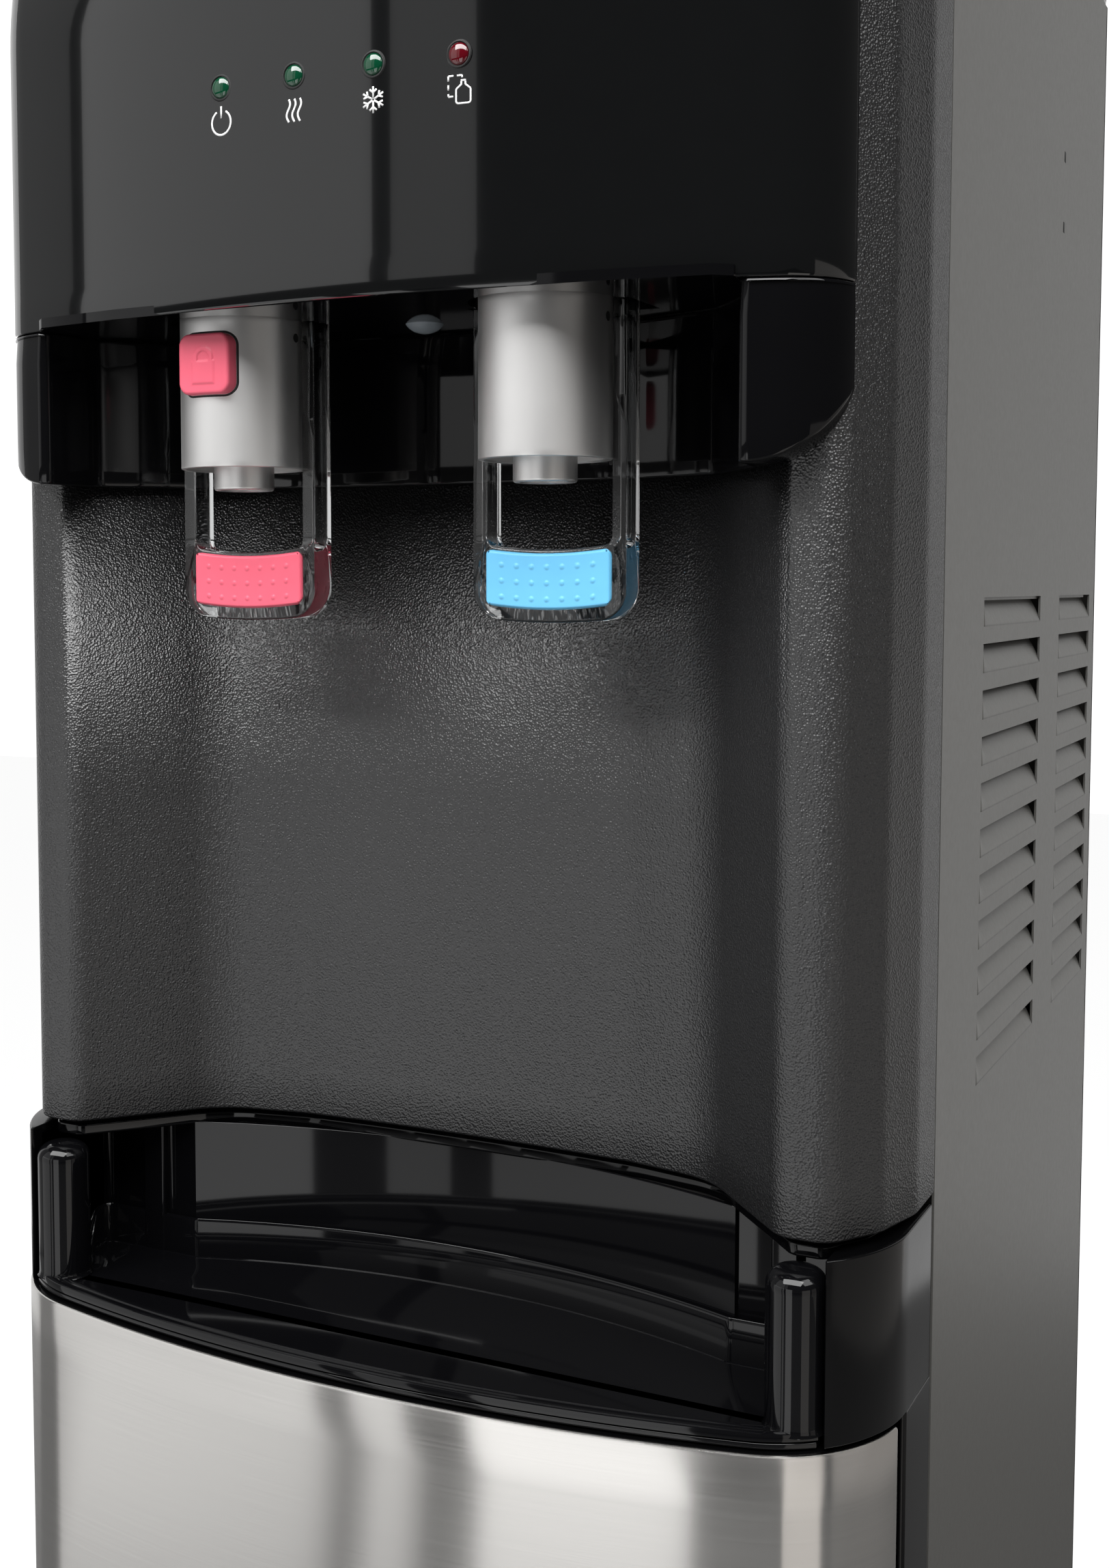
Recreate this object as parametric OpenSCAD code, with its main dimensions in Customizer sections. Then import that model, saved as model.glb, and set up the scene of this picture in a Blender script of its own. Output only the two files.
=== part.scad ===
// Floor-standing, bottom-loading hot and cold water dispenser.
// Millimetres, +Z up, front faces -Y, origin on the floor under the middle of the body.

/* [Body] */
// Width over the side panels
body_w = 310; // [300:1:330]
// Depth from the foremost line of the head to the rear edge
body_d = 368; // [360:1:390]
// Height from the floor to the top of the lid
body_h = 1040; // [1030:1:1080]
// Thickness of the sheet-metal panels
sheet_t = 1; // [0.8:0.1:1.5]
// Thickness of the moulded plastic covers
shell_t = 2.6; // [2:0.1:3.5]

/* [Door] */
// Height of the top edge of the door
door_top = 548; // [530:1:560]
// Clearance under the door
door_bottom = 42; // [40:1:60]
// Radius of the door's bowed front
door_bow = 530; // [450:10:800]
// Radius of the door's vertical edges
door_edge_r = 45; // [35:1:50]
/* [Head] */
// How far the head stands in front of the door
head_proud = 6; // [4:1:10]
// Height of the head's lower lip
lip_z = 869; // [860:1:880]
// Radius of the head's bowed front
head_bow = 425; // [380:5:500]
// Half the width of the head cover
head_half = 146; // [140:1:148]
// Height where the brow starts to lean back
brow_z = 960; // [950:1:970]

/* [Taps] */
// Distance of each tap from the middle
tap_x = 52.4; // [48:0.1:56]
// Distance of the tap axes behind the foremost line of the door
tap_back = 29; // [26:0.5:32]
// Radius of the tap barrels
tap_r = 19.5; // [18:0.1:20]
// Height of the lower end of the barrels
tap_z = 824; // [820:1:830]
// Height of the paddles' lower end
paddle_z = 777.5; // [770:0.5:785]
// Width over a paddle's two arms
paddle_w = 49.4; // [48:0.1:52]

/* [Niche] */
// Height of the lower edge of the grained front panel
panel_z = 605; // [600:1:612]
// Radius of the grip posts on the drip tray
post_r = 8; // [6:0.5:9]
// Distance of the grip posts from the middle
post_x = 130.2; // [126:0.1:131]

/* [Louvres] */
// Louvres in each column
louvre_rows = 11; // [6:1:11]
// Height of the uppermost louvre
louvre_z = 784; // [770:1:790]
// Distance between louvres
louvre_pitch = 15; // [14:0.5:16]

/* [Hidden] */

charcoal = [0.13, 0.13, 0.14];
gloss_black = [0.03, 0.03, 0.035];
grained_black = [0.1, 0.1, 0.1];
steel = [0.75, 0.73, 0.7];
panel_grey = [0.43, 0.42, 0.4];
white_plastic = [0.92, 0.92, 0.9];
pink = [0.95, 0.42, 0.5];
sky = [0.45, 0.8, 0.97];
clear = [0.9, 0.93, 0.95, 0.4];

$fn = 64;
arc_steps = 20;
gap = 0.3;                                  // air between pieces that move past each other
half_w = body_w / 2;
head_y = -body_d / 2;                       // foremost line of the head
rear_y = body_d / 2;
seam_back = 86;                             // where the plastic front meets the metal sides
foot_h = 14;
base_top = 38;
lid_z = body_h - 12;                        // upper edge of the side panels
rear_recess = 22;                           // rear panel set in to make room for the condenser
shelf_z = 588;                              // ceiling of the bottle cabinet
liner_back = 305;
tray_floor_z = 550.7;
niche_back = 82;                            // deepest point of the niche's curved wall
niche_half = 139.5;
niche_bow = 294;                            // radius of the niche's curved wall
leg_in = 141;                               // inner face of the front legs
door_back = 50;                             // depth of the door's wrapped edges
finger_gap = 7.5;                           // open strip behind the door's edge
hinge_x = -143;
hinge_back = 42;
bush_r = 5.5;
pin_r = 3;
pivot_z = 905;                              // paddle pivot, inside the head
paddle_back = 36;
pin2_r = 2;
led_x = 13;                                 // half the spacing between indicators
led_z = 933.5;
pad_w = 40.5;
pad_h = 16.6;
head_edge_r = 24;
brow_r = 140;                               // radius of the brow, seen from the side
stem_z = 888;                               // valve stems, below the paddles' pivots
tank_shelf_z = 783;
hot_tank_at = [-84, 180];
cold_tank_at = [70, 240];
probe_back = 180;

// Distance behind the foremost line of the door, as a Y coordinate.
function at(back) = head_y + head_proud + back;

// How far the brow has leaned back at a height above its start.
function brow_lean(h) = brow_r - sqrt(brow_r * brow_r - h * h);

// Points along a circular arc, from angle a0 to a1.
function arc(cx, cy, r, a0, a1, n = arc_steps) =
    [for (i = [0:n]) let(a = a0 + (a1 - a0) * i / n) [cx + r * cos(a), cy + r * sin(a)]];

// Bowed front with rounded ends: one wide arc that blends into the two side faces.
// Where the straight sides would start behind the back line, the round ends stop at it.
function bowed(front, bow, edge_r, half, back) =
    let(cx = half - edge_r,
        run = sqrt(pow(bow - edge_r, 2) - cx * cx),
        cy = front + bow - run,
        turn = atan2(cx, run),
        short = cy > back ? asin((cy - back) / edge_r) : 0,
        step = 2 * turn / arc_steps)
    concat(arc(-cx, cy, edge_r, 180 + short, 270 - turn),
           arc(0, front + bow, bow, 270 - turn + step, 270 + turn - step),
           arc(cx, cy, edge_r, 270 + turn, 360 - short),
           cy > back ? [] : [[half, back], [-half, back]]);

module bowed_plan(front, bow, edge_r, half, back) {
    polygon(bowed(front, bow, edge_r, half, back));
}

// Everything behind the grained panel's face: hollow in the middle, a rounded pillar at each side.
module pillar_plan(back) {
    deep = at(240);
    side = [[90, at(68)], [124.5, at(29.5)], [139.5, at(29.5)], [150, at(46)], [half_w, at(66)],
            [half_w, deep]];
    middle = [for (x = [-60:20:60]) [x, at(76 - x * x / 1800)]];
    left = [for (i = [len(side) - 1:-1:0]) [-side[i][0], side[i][1]]];
    intersection() {
        offset(r = 10) offset(delta = -10) offset(r = -30) offset(delta = 30)
            polygon(concat(left, middle, side));
        translate([-half_w, head_y]) square([2 * half_w, back - head_y]);
    }
}

// The pocket that the taps hang in.
module pocket_plan() {
    right = [[62, at(72)], [93, at(60)], [114, at(34)], [117, at(-40)]];
    left = [for (i = [3:-1:0]) [-right[i][0], right[i][1]]];
    middle = [for (x = [-40:20:40]) [x, at(73.4 - x * x / 2000)]];
    offset(r = 9) offset(delta = -9) polygon(concat(left, middle, right));
}

module niche_wall_plan(grow = 0) {
    intersection() {
        translate([0, at(niche_back) - niche_bow]) circle(r = niche_bow + grow, $fn = 160);
        translate([-100 - grow, at(30)]) square([200 + 2 * grow, 80]);
    }
    translate([-niche_half, at(-10)]) square([2 * niche_half, 76.02]);
}

// Plan of the head at a given lean: the front goes back faster than the sides come in.
module head_plan(lean, inset = 0, back = 44) {
    bowed_plan(head_y + lean + inset, head_bow, head_edge_r - inset, head_half - 0.3 * lean - inset,
               at(back));
}

module head_solid(bottom, inset, back) {
    top_h = lid_z - 0.4 - brow_z - inset;
    hull() {
        translate([0, 0, bottom]) linear_extrude(1) head_plan(0, inset, back);
        for (i = [0:5]) {
            h = top_h * i / 5;
            translate([0, 0, brow_z + h - 0.1]) linear_extrude(0.1) head_plan(brow_lean(h), inset, back);
        }
    }
}

module pillar_cut(low, high) {
    translate([0, 0, low]) linear_extrude(high - low) offset(delta = gap) pillar_plan(at(120));
}

// ---- Base, sides, back and top ----

module base_frame() {
    wall = 3;
    color(charcoal) difference() {
        translate([0, 0, foot_h])
            linear_extrude(base_top - foot_h)
                bowed_plan(at(3), door_bow, door_edge_r - 3, half_w - sheet_t - 0.2, rear_y - 2);
        translate([0, 0, foot_h - 1])
            linear_extrude(base_top - foot_h - wall + 1)
                bowed_plan(at(3 + wall), door_bow, door_edge_r - 6, half_w - sheet_t - wall, rear_y - 2 - wall);
        translate([hinge_x, at(hinge_back), foot_h]) cylinder(r = pin_r, h = base_top);
    }
}

module levelling_feet() {
    foot_x = 125;
    color(gloss_black)
        for (x = [-foot_x, foot_x])
            for (y = [at(60), rear_y - 40])
                translate([x, y, 0]) {
                    cylinder(r = 16, h = 8);
                    cylinder(r = 5, h = base_top - 3);
                }
}

// One louvre: a flap lanced out of the sheet and leaned inwards about its lower edge.
module louvre_cut(length) {
    translate([-2, 0, -9.5]) cube([4, length, 9.5]);
}

module louvre_flap(length) {
    lean = 38;
    translate([-sheet_t, -0.5, -11]) rotate([0, -lean, 0]) cube([sheet_t, length + 1, 11]);
}

module louvre_grid(flap) {
    columns = [[142, 97], [277, 71]];
    for (c = columns)
        for (i = [0:louvre_rows - 1])
            translate([half_w, at(c[0]), louvre_z - i * louvre_pitch])
                if (flap) louvre_flap(c[1]); else louvre_cut(c[1]);
}

module side_panel() {
    y0 = at(seam_back) + 0.4;
    bottom = foot_h + 4;
    difference() {
        union() {
            translate([half_w - sheet_t, y0, bottom]) cube([sheet_t, rear_y - y0, lid_z - bottom]);
            translate([half_w - 12, rear_y - sheet_t, bottom]) cube([12, sheet_t, lid_z - bottom]);
            translate([half_w - 3.5, y0, base_top + 0.2])
                cube([3.5, sheet_t, lid_z - base_top - 0.2]);
        }
        louvre_grid(false);
        for (z = [948.5, 922.5])
            translate([half_w - 2, at(269), z - 2]) cube([4, 1.4, 4]);
    }
    louvre_grid(true);
}

module left_side_panel() {
    color(panel_grey) mirror([1, 0, 0]) side_panel();
}

module right_side_panel() {
    color(panel_grey) side_panel();
}

module rear_panel() {
    y0 = rear_y - rear_recess;
    bottom = base_top;
    slot_rows = 9;
    louvre_low = louvre_z - louvre_rows * louvre_pitch;
    color(panel_grey) difference() {
        translate([-half_w + sheet_t + 0.2, y0, bottom])
            cube([body_w - 2 * sheet_t - 0.4, sheet_t, lid_z - bottom]);
        for (side = [-1, 1])
            translate([side * half_w - 9, y0 - 1, louvre_low])
                cube([18, 3, louvre_z + 4 - louvre_low]);
        for (i = [0:slot_rows - 1])
            for (x = [-105:42:105])
                translate([x - 16, y0 - 1, 640 + i * 16]) cube([32, 3, 5]);
        translate([100, y0 - 1, 880]) translate([-34, 0, -13]) cube([68, 3, 26]);
        translate([-100, y0 - 1, 90]) rotate([-90, 0, 0]) cylinder(r = 8, h = 3);
        translate([0, y0 - 1, 612]) rotate([-90, 0, 0]) cylinder(r = 9, h = 3);
    }
}

coil_runs = 14;
coil_pitch = 30;
coil_z = 120;
coil_half = 112;
coil_r = 2.4;
coil_y = rear_y - 12;

module condenser_coil() {
    color(gloss_black) {
        for (i = [0:coil_runs - 1])
            translate([-coil_half, coil_y, coil_z + i * coil_pitch])
                rotate([0, 90, 0]) cylinder(r = coil_r, h = 2 * coil_half, $fn = 20);
        for (i = [0:coil_runs - 2])
            translate([i % 2 == 0 ? coil_half : -coil_half, coil_y, coil_z + (i + 0.5) * coil_pitch])
                rotate([90, i % 2 == 0 ? 90 : -90, 0])
                    rotate_extrude(angle = 180, $fn = 32)
                        translate([coil_pitch / 2, 0]) circle(r = coil_r, $fn = 20);
    }
}

module condenser_wires() {
    wire_r = 0.8;
    wire_y = coil_y + coil_r + wire_r + 0.05;
    panel_y = rear_y - rear_recess + sheet_t;
    color(gloss_black) {
        for (x = [-104:16:104])
            translate([x, wire_y, coil_z - 14])
                cylinder(r = wire_r, h = (coil_runs - 1) * coil_pitch + 28, $fn = 16);
        for (x = [-88, 88])
            for (i = [0.5, coil_runs - 1.5])
                translate([x - 4, panel_y, coil_z + i * coil_pitch - 3])
                    cube([8, wire_y - panel_y, 6]);
    }
}

// Plan of the whole body at the lid: the brow in the middle, a pillar at each side.
module lid_plan(inset) {
    offset(delta = -inset) union() {
        head_plan(brow_lean(lid_z - brow_z), 0, 60);
        pillar_plan(at(200));
        translate([-half_w, at(150)]) square([2 * half_w, rear_y - at(150)]);
    }
}

module top_cover() {
    steps = [[lid_z, 0], [body_h - 4.5, 0.8], [body_h - 2.6, 2], [body_h - 1.2, 4.2], [body_h, 0]];
    color(charcoal) difference() {
        for (i = [0:3])
            translate([0, 0, steps[i][0]]) linear_extrude(steps[i + 1][0] - steps[i][0]) lid_plan(steps[i][1]);
        translate([0, 0, lid_z - 1]) linear_extrude(body_h - lid_z - 3) lid_plan(8);
    }
}

// ---- Head and taps ----

module head_cover() {
    color(charcoal) difference() {
        head_solid(lip_z, 0, 44);
        head_solid(lip_z - 2, shell_t, 50);
        pillar_cut(lip_z - 2, body_h);
        led_bores();
    }
}

module led_bores() {
    for (i = [-3:2:3])
        translate([i * led_x, head_y - 5, led_z])
            rotate([-90, 0, 0]) cylinder(r = 3.1, h = 30);
}

module front_panel() {
    top = lid_z - 0.4;
    color(grained_black) difference() {
        translate([0, 0, panel_z]) linear_extrude(top - panel_z) difference() {
            pillar_plan(at(seam_back));
            offset(delta = -3) pillar_plan(at(seam_back + 10));
        }
        translate([-126, at(-20), 823]) cube([252, 130, top]);
    }
}

// Everything in front of the grained panel, out to the head's outline.
module front_space(inset) {
    difference() {
        head_plan(0, inset, 90);
        offset(delta = gap) pillar_plan(at(120));
    }
}

ceiling_z = 871;

module tap_surround() {
    low = 820.5;
    corner = 24;
    high = lip_z - 0.2;
    color(gloss_black) difference() {
        union() {
            intersection() {
                translate([0, 0, low]) linear_extrude(high - low) difference() {
                    front_space(0.2);
                    pocket_plan();
                }
                translate([0, at(-20), low + corner]) rotate([-90, 0, 0]) linear_extrude(120) {
                    for (x = [-1, 1])
                        translate([x * (head_half - corner), 0]) circle(r = corner);
                    translate([corner - head_half, -60]) square([2 * (head_half - corner), 60 + corner]);
                    translate([-head_half, -60]) square([2 * head_half, 60]);
                }
            }
            translate([0, 0, high]) linear_extrude(ceiling_z - high) difference() {
                intersection() {
                    offset(delta = 2.8) pocket_plan();
                    front_space(shell_t + 0.6);
                }
                pocket_plan();
            }
            translate([0, 0, ceiling_z]) linear_extrude(2) intersection() {
                offset(delta = 2.8) pocket_plan();
                front_space(shell_t + 0.6);
            }
        }
        for (side = [-1, 1]) {
            translate([side * tap_x, at(tap_back), ceiling_z - 1]) cylinder(r = tap_r + 3, h = 4);
            translate([side * tap_x - paddle_w / 2 - 1, at(29.5), ceiling_z - 1])
                cube([paddle_w + 2, 24, 4]);
        }
        translate([0, at(52), ceiling_z - 1]) cylinder(r = 6.7, h = 4);
    }
}

module night_light_lens() {
    color(white_plastic) translate([0, at(52), 871]) {
        rotate_extrude() polygon(concat([[0, 2], [6.6, 2], [6.6, 0]],
                                        [for (a = [10:10:90]) [6.6 * cos(a), -5 * sin(a)]]));
        translate([0, 0, 2]) cylinder(r = 9, h = 1.2);
    }
}

carrier_t = 4;
carrier_z = 912;
ear_t = 4;

// Bracket above the pocket: it carries both taps, the paddles' pins and the valves.
module tap_carrier() {
    beam_half = half_w - sheet_t - 0.2;
    color(white_plastic) difference() {
        union() {
            translate([-104, at(14), carrier_z]) cube([208, 58, carrier_t]);
            for (side = [-1, 1]) {
                translate([side * 80 - 10, at(70), carrier_z]) cube([20, 22, carrier_t]);
                for (off = [-1, 1])
                    translate([side * tap_x + off * (paddle_w / 2 + 4) - ear_t / 2, at(paddle_back) - 6,
                               pivot_z - 6])
                        cube([ear_t, 12, carrier_z - pivot_z + 7]);
                translate([side * tap_x - 7, at(52), stem_z - 8]) cube([14, 16, carrier_z - stem_z + 9]);
            }
            translate([-beam_half, at(88), carrier_z]) cube([2 * beam_half, 12, carrier_t]);
        }
        for (side = [-1, 1]) {
            translate([side * tap_x, at(tap_back), carrier_z - 1]) cylinder(r = 13, h = 6);
            translate([side * tap_x - paddle_w, at(paddle_back), pivot_z])
                rotate([0, 90, 0]) cylinder(r = pin2_r, h = 2 * paddle_w);
            translate([side * tap_x, at(50), stem_z]) rotate([-90, 0, 0]) cylinder(r = 3, h = 30);
        }
    }
}

module tap_barrel(side) {
    wall = 2;
    translate([side * tap_x, at(tap_back), 0]) difference() {
        union() {
            translate([0, 0, tap_z]) cylinder(r = tap_r, h = 878 - tap_z);
            translate([0, 0, 878]) cylinder(r = 12.9, h = carrier_z + 3 - 878);
        }
        translate([0, 0, tap_z - 1]) cylinder(r = tap_r - wall, h = 16);
        translate([0, 0, tap_z + 5]) cylinder(r = 5, h = 78);
        translate([0, 0, 864]) rotate([0, 90, 0]) cylinder(r = 1.1, h = tap_r + 1);
        translate([-tap_r, paddle_back - tap_back, pivot_z])
            rotate([0, 90, 0]) cylinder(r = pin2_r + 0.15, h = 2 * tap_r);
    }
}

module hot_tap_body() {
    color(steel) difference() {
        tap_barrel(-1);
        translate([-tap_x - 9.6, at(tap_back) - tap_r - 1, 845.4]) cube([19.2, 8, 19.2]);
    }
}

module cold_tap_body() {
    color(steel) tap_barrel(1);
}

module nozzle(side) {
    translate([side * tap_x, at(tap_back), 817.5]) difference() {
        union() {
            cylinder(r = 9.4, h = 14);
            translate([0, 0, 14]) cylinder(r = 4.95, h = 12);
        }
        translate([0, 0, -1]) cylinder(r = 7.2, h = 6);
        translate([0, 0, 2]) cylinder(r = 3, h = 30);
    }
}

module hot_nozzle() {
    color(steel) nozzle(-1);
}

module cold_nozzle() {
    color(steel) nozzle(1);
}

module led(position, tint) {
    lens_r = 2.6;
    face = bow_at(position * led_x);
    color(tint) translate([position * led_x, face, led_z]) rotate([-90, 0, 0]) {
        intersection() {
            translate([0, 0, lens_r]) sphere(r = lens_r + 1);
            translate([0, 0, -1]) cylinder(r = lens_r + 0.4, h = 3);
        }
        translate([0, 0, 1.5]) cylinder(r = lens_r, h = 8);
    }
}

// Y of the head's face at a distance from the middle.
function bow_at(x) = head_y + head_bow - sqrt(head_bow * head_bow - x * x);

module power_led() {
    led(-3, "green");
}

module heating_led() {
    led(-1, "green");
}

module cooling_led() {
    led(1, "green");
}

module empty_bottle_led() {
    led(3, "red");
}

module control_board() {
    color("darkgreen") translate([-60, head_y + 15, led_z - 22]) cube([120, 1.6, 44]);
    color("dimgray")
        for (x = [-45:30:45])
            translate([x - 6, head_y + 16.6, led_z - 14]) cube([12, 6, 12]);
}

module paddle(side) {
    arm = 4.5;
    depth = 10;
    inner = paddle_w - 2 * arm;
    bar_top = 799.5;
    x0 = side * tap_x;
    difference() {
        union() {
            for (off = [-1, 1])
                translate([x0 + off * (paddle_w - arm) / 2 - arm / 2, at(paddle_back) - depth / 2, paddle_z + 6]) {
                    cube([arm, depth, pivot_z - paddle_z - 1]);
                    translate([0, depth - 1, stem_z - 4 - paddle_z - 6]) cube([arm, 5.5, 8]);
                }
            translate([x0 - paddle_w / 2, at(42.5), stem_z - 4]) cube([paddle_w, 3, 8]);
            translate([x0, at(paddle_back) + depth / 2, 0]) rotate([90, 0, 0])
                linear_extrude(depth) difference() {
                    offset(r = 6) offset(delta = -6)
                        translate([-paddle_w / 2, paddle_z]) square([paddle_w, 40]);
                    translate([-inner / 2, bar_top]) square([inner, 40]);
                }
        }
        translate([x0 - paddle_w, at(paddle_back), pivot_z]) rotate([0, 90, 0])
            cylinder(r = pin2_r + 0.06, h = 2 * paddle_w);
        translate([x0 - pad_w / 2 - 0.1, at(paddle_back) - depth / 2 - 1, paddle_z + 3.4])
            cube([pad_w + 0.2, 3.2, pad_h + 0.2]);
    }
}

module pad(side) {
    bump_r = 0.8;
    translate([side * tap_x, at(paddle_back - 5), paddle_z + 3.5]) {
        translate([-pad_w / 2, -0.8, 0]) cube([pad_w, 3, pad_h]);
        for (row = [0:2])
            for (i = [-3:3])
                translate([i * 5.4, -0.8, 3.6 + row * 4.7]) rotate([90, 0, 0]) cylinder(r = bump_r, h = 0.4);
    }
}

module hot_paddle() {
    color(clear) paddle(-1);
}

module cold_paddle() {
    color(clear) paddle(1);
}

module hot_pad() {
    color(pink) pad(-1);
}

module cold_pad() {
    color(sky) pad(1);
}

module paddle_pins() {
    color(steel)
        for (side = [-1, 1])
            translate([side * tap_x - paddle_w / 2 - 6, at(paddle_back), pivot_z])
                rotate([0, 90, 0]) cylinder(r = pin2_r, h = paddle_w + 12);
}

// Stem that the paddle's crossbar presses back into its valve block.
module valve_stem(side) {
    translate([side * tap_x, at(48), stem_z]) rotate([-90, 0, 0]) {
        cylinder(r = 2.95, h = 14);
        translate([0, 0, -2]) cylinder(r = 5, h = 2);
    }
}

module hot_valve_stem() {
    color("orange") valve_stem(-1);
}

module cold_valve_stem() {
    color("orange") valve_stem(1);
}

module child_lock_button() {
    size = 18.4;
    color(pink)
        translate([-tap_x, at(tap_back) - tap_r + 4.4, 855]) rotate([90, 0, 0])
            linear_extrude(6.4) offset(r = 3.5) offset(delta = -3.5) square(size, center = true);
}

// ---- Drip niche and tray ----

module frame_plan(inset = 0) {
    bowed_plan(at(0.6 + inset), door_bow, door_edge_r - inset, half_w - 0.3 - inset, at(seam_back));
}

module lower_frame() {
    leg_front = door_back + finger_gap;
    color(grained_black) difference() {
        union() {
            translate([0, 0, 549]) linear_extrude(panel_z - 549 - 1.6) difference() {
                frame_plan();
                niche_wall_plan();
                translate([-niche_half, at(60)]) square([2 * niche_half, 60]);
            }
            translate([0, 0, panel_z - 3.6]) linear_extrude(2.4) intersection() {
                frame_plan();
                offset(delta = 0.6) pillar_plan(at(seam_back));
            }
            for (side = [-1, 1])
                translate([side * (half_w - 0.3 + leg_in) / 2 - (half_w - 0.3 - leg_in) / 2, at(leg_front), base_top])
                    cube([half_w - 0.3 - leg_in, seam_back - leg_front, 549 - base_top]);
        }
        translate([hinge_x, at(hinge_back), 548]) cylinder(r = pin_r, h = 6);
    }
}

module niche_liner() {
    wall = 2;
    floor_z = 549;
    color(gloss_black) {
        translate([0, 0, floor_z]) linear_extrude(1.5) intersection() {
            frame_plan(3);
            translate([-niche_half, at(-10)]) square([2 * niche_half, seam_back + 10]);
        }
        translate([0, 0, floor_z + 1]) linear_extrude(panel_z - floor_z - 4.6) difference() {
            union() {
                translate([-niche_half, at(66)]) square([2 * niche_half, wall]);
                translate([-102, at(66)]) square([204, seam_back - 66]);
            }
            niche_wall_plan();
        }
    }
}

module drip_tray() {
    wall = 1.8;
    play = 0.6;
    rim_top = 555.5;
    module tray_plan(inset = 0) {
        intersection() {
            frame_plan(1.2 + inset);
            offset(delta = -play - inset) niche_wall_plan();
        }
    }
    color(gloss_black) {
        translate([0, 0, tray_floor_z]) linear_extrude(wall) tray_plan();
        translate([0, 0, tray_floor_z]) linear_extrude(rim_top - tray_floor_z) difference() {
            tray_plan();
            tray_plan(7);
        }
        translate([0, 0, tray_floor_z]) linear_extrude(565 - tray_floor_z) difference() {
            tray_plan();
            offset(delta = -play - 2) niche_wall_plan();
            translate([-200, at(-20)]) square([400, 70]);
        }
        for (side = [-1, 1])
            translate([side * post_x, at(30), tray_floor_z]) {
                cylinder(r = post_r, h = 37);
                translate([0, 0, 37]) sphere(r = post_r);
            }
    }
}

// ---- Bottle cabinet ----

module cabinet_liner() {
    wall = 2;
    out = 151;
    y0 = at(seam_back) + 0.5;
    y1 = at(liner_back);
    color(white_plastic) difference() {
        translate([-out, y0, base_top]) cube([2 * out, y1 - y0, shelf_z - base_top]);
        translate([-out + wall, y0 + wall, base_top + wall])
            cube([2 * (out - wall), y1 - y0 - 2 * wall, shelf_z - base_top - 2 * wall]);
        translate([-out + wall, y0 - 1, base_top + wall])
            cube([2 * (out - wall), wall + 2, 546 - base_top - wall]);
        translate([0, at(180), shelf_z - wall - 1]) cylinder(r = 12, h = wall + 2);
    }
}

module probe_holder() {
    color(white_plastic) translate([0, at(180), 0]) difference() {
        union() {
            translate([0, 0, 556]) cylinder(r = 22, h = 30);
        }
        translate([0, 0, 555]) cylinder(r = 17.5, h = 27);
        translate([0, 0, 550]) cylinder(r = 12, h = 40);
    }
}

// Cap that is pushed on the bottle's neck, parked in its holder under the cabinet ceiling.
module probe_cap() {
    color(white_plastic) translate([0, at(180), 0]) difference() {
        union() {
            translate([0, 0, 528]) cylinder(r = 31, h = 26);
            translate([0, 0, 554]) cylinder(r = 17, h = 22);
        }
        translate([0, 0, 527]) cylinder(r = 28.5, h = 20);
        translate([0, 0, 527]) cylinder(r = 5.02, h = 60);
    }
}

module suction_tube() {
    color(steel) translate([0, at(180), 0]) difference() {
        translate([0, 0, 90]) cylinder(r = 5, h = 480);
        translate([0, 0, 89]) cylinder(r = 3.8, h = 482);
    }
}

// ---- Machine compartment ----

module steel_shelf(z, y0) {
    half = half_w - sheet_t - 0.2;
    color(panel_grey) difference() {
        translate([-half, y0, z]) cube([2 * half, rear_y - rear_recess - y0 - 0.2, 2]);
        translate([0, at(probe_back), z - 2]) cylinder(r = 12, h = 6);
    }
}

module machine_shelves() {
    steel_shelf(shelf_z + 0.2, at(seam_back) + 2);
    steel_shelf(tank_shelf_z, at(110));
}

module compressor() {
    color(gloss_black) translate([70, at(255), shelf_z + 2.2]) {
        for (x = [-1, 1])
            for (y = [-1, 1])
                translate([x * 48, y * 40, 0]) cylinder(r = 8, h = 10);
        translate([-58, -50, 10]) cube([116, 100, 3]);
        translate([0, 0, 13]) cylinder(r = 50, h = 95);
        translate([0, 0, 108]) intersection() {
            sphere(r = 50);
            cylinder(r = 50, h = 28);
        }
    }
}

module pump() {
    color(charcoal) translate([-90, at(150), shelf_z + 2.2]) {
        translate([-20, -18, 0]) cube([40, 36, 3]);
        translate([0, -14, 22]) rotate([-90, 0, 0]) cylinder(r = 18, h = 52);
        translate([-16, -26, 5]) cube([32, 14, 34]);
    }
}

tank_r = 52;
tank_wall = 1.5;

// A drawn tank with a hollow spigot on its lid.
module tank(height, spigot) {
    difference() {
        union() {
            cylinder(r = tank_r, h = height);
            translate([0, 0, height - 1]) cylinder(r = 6, h = spigot + 1);
        }
        translate([0, 0, tank_wall]) cylinder(r = tank_r - tank_wall, h = height - 2 * tank_wall);
        translate([0, 0, height / 2]) cylinder(r = 3, h = height);
    }
}

module cold_tank() {
    color(steel) translate([cold_tank_at[0], at(cold_tank_at[1]), 800]) tank(150, 20);
}

module cold_tank_jacket() {
    color(white_plastic) translate([cold_tank_at[0], at(cold_tank_at[1]), 786]) difference() {
        cylinder(r = 78, h = 190);
        translate([0, 0, 14]) cylinder(r = tank_r, h = 150);
        translate([0, 0, 150]) cylinder(r = 6, h = 60);
    }
}

module hot_tank() {
    color(steel) translate([hot_tank_at[0], at(hot_tank_at[1]), tank_shelf_z + 2]) {
        for (turn = [45:90:315])
            rotate([0, 0, turn]) translate([38, 0, 0]) cylinder(r = 5, h = 16);
        translate([0, 0, 15]) tank(160, 18);
    }
}

hose_r = 4;

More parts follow.
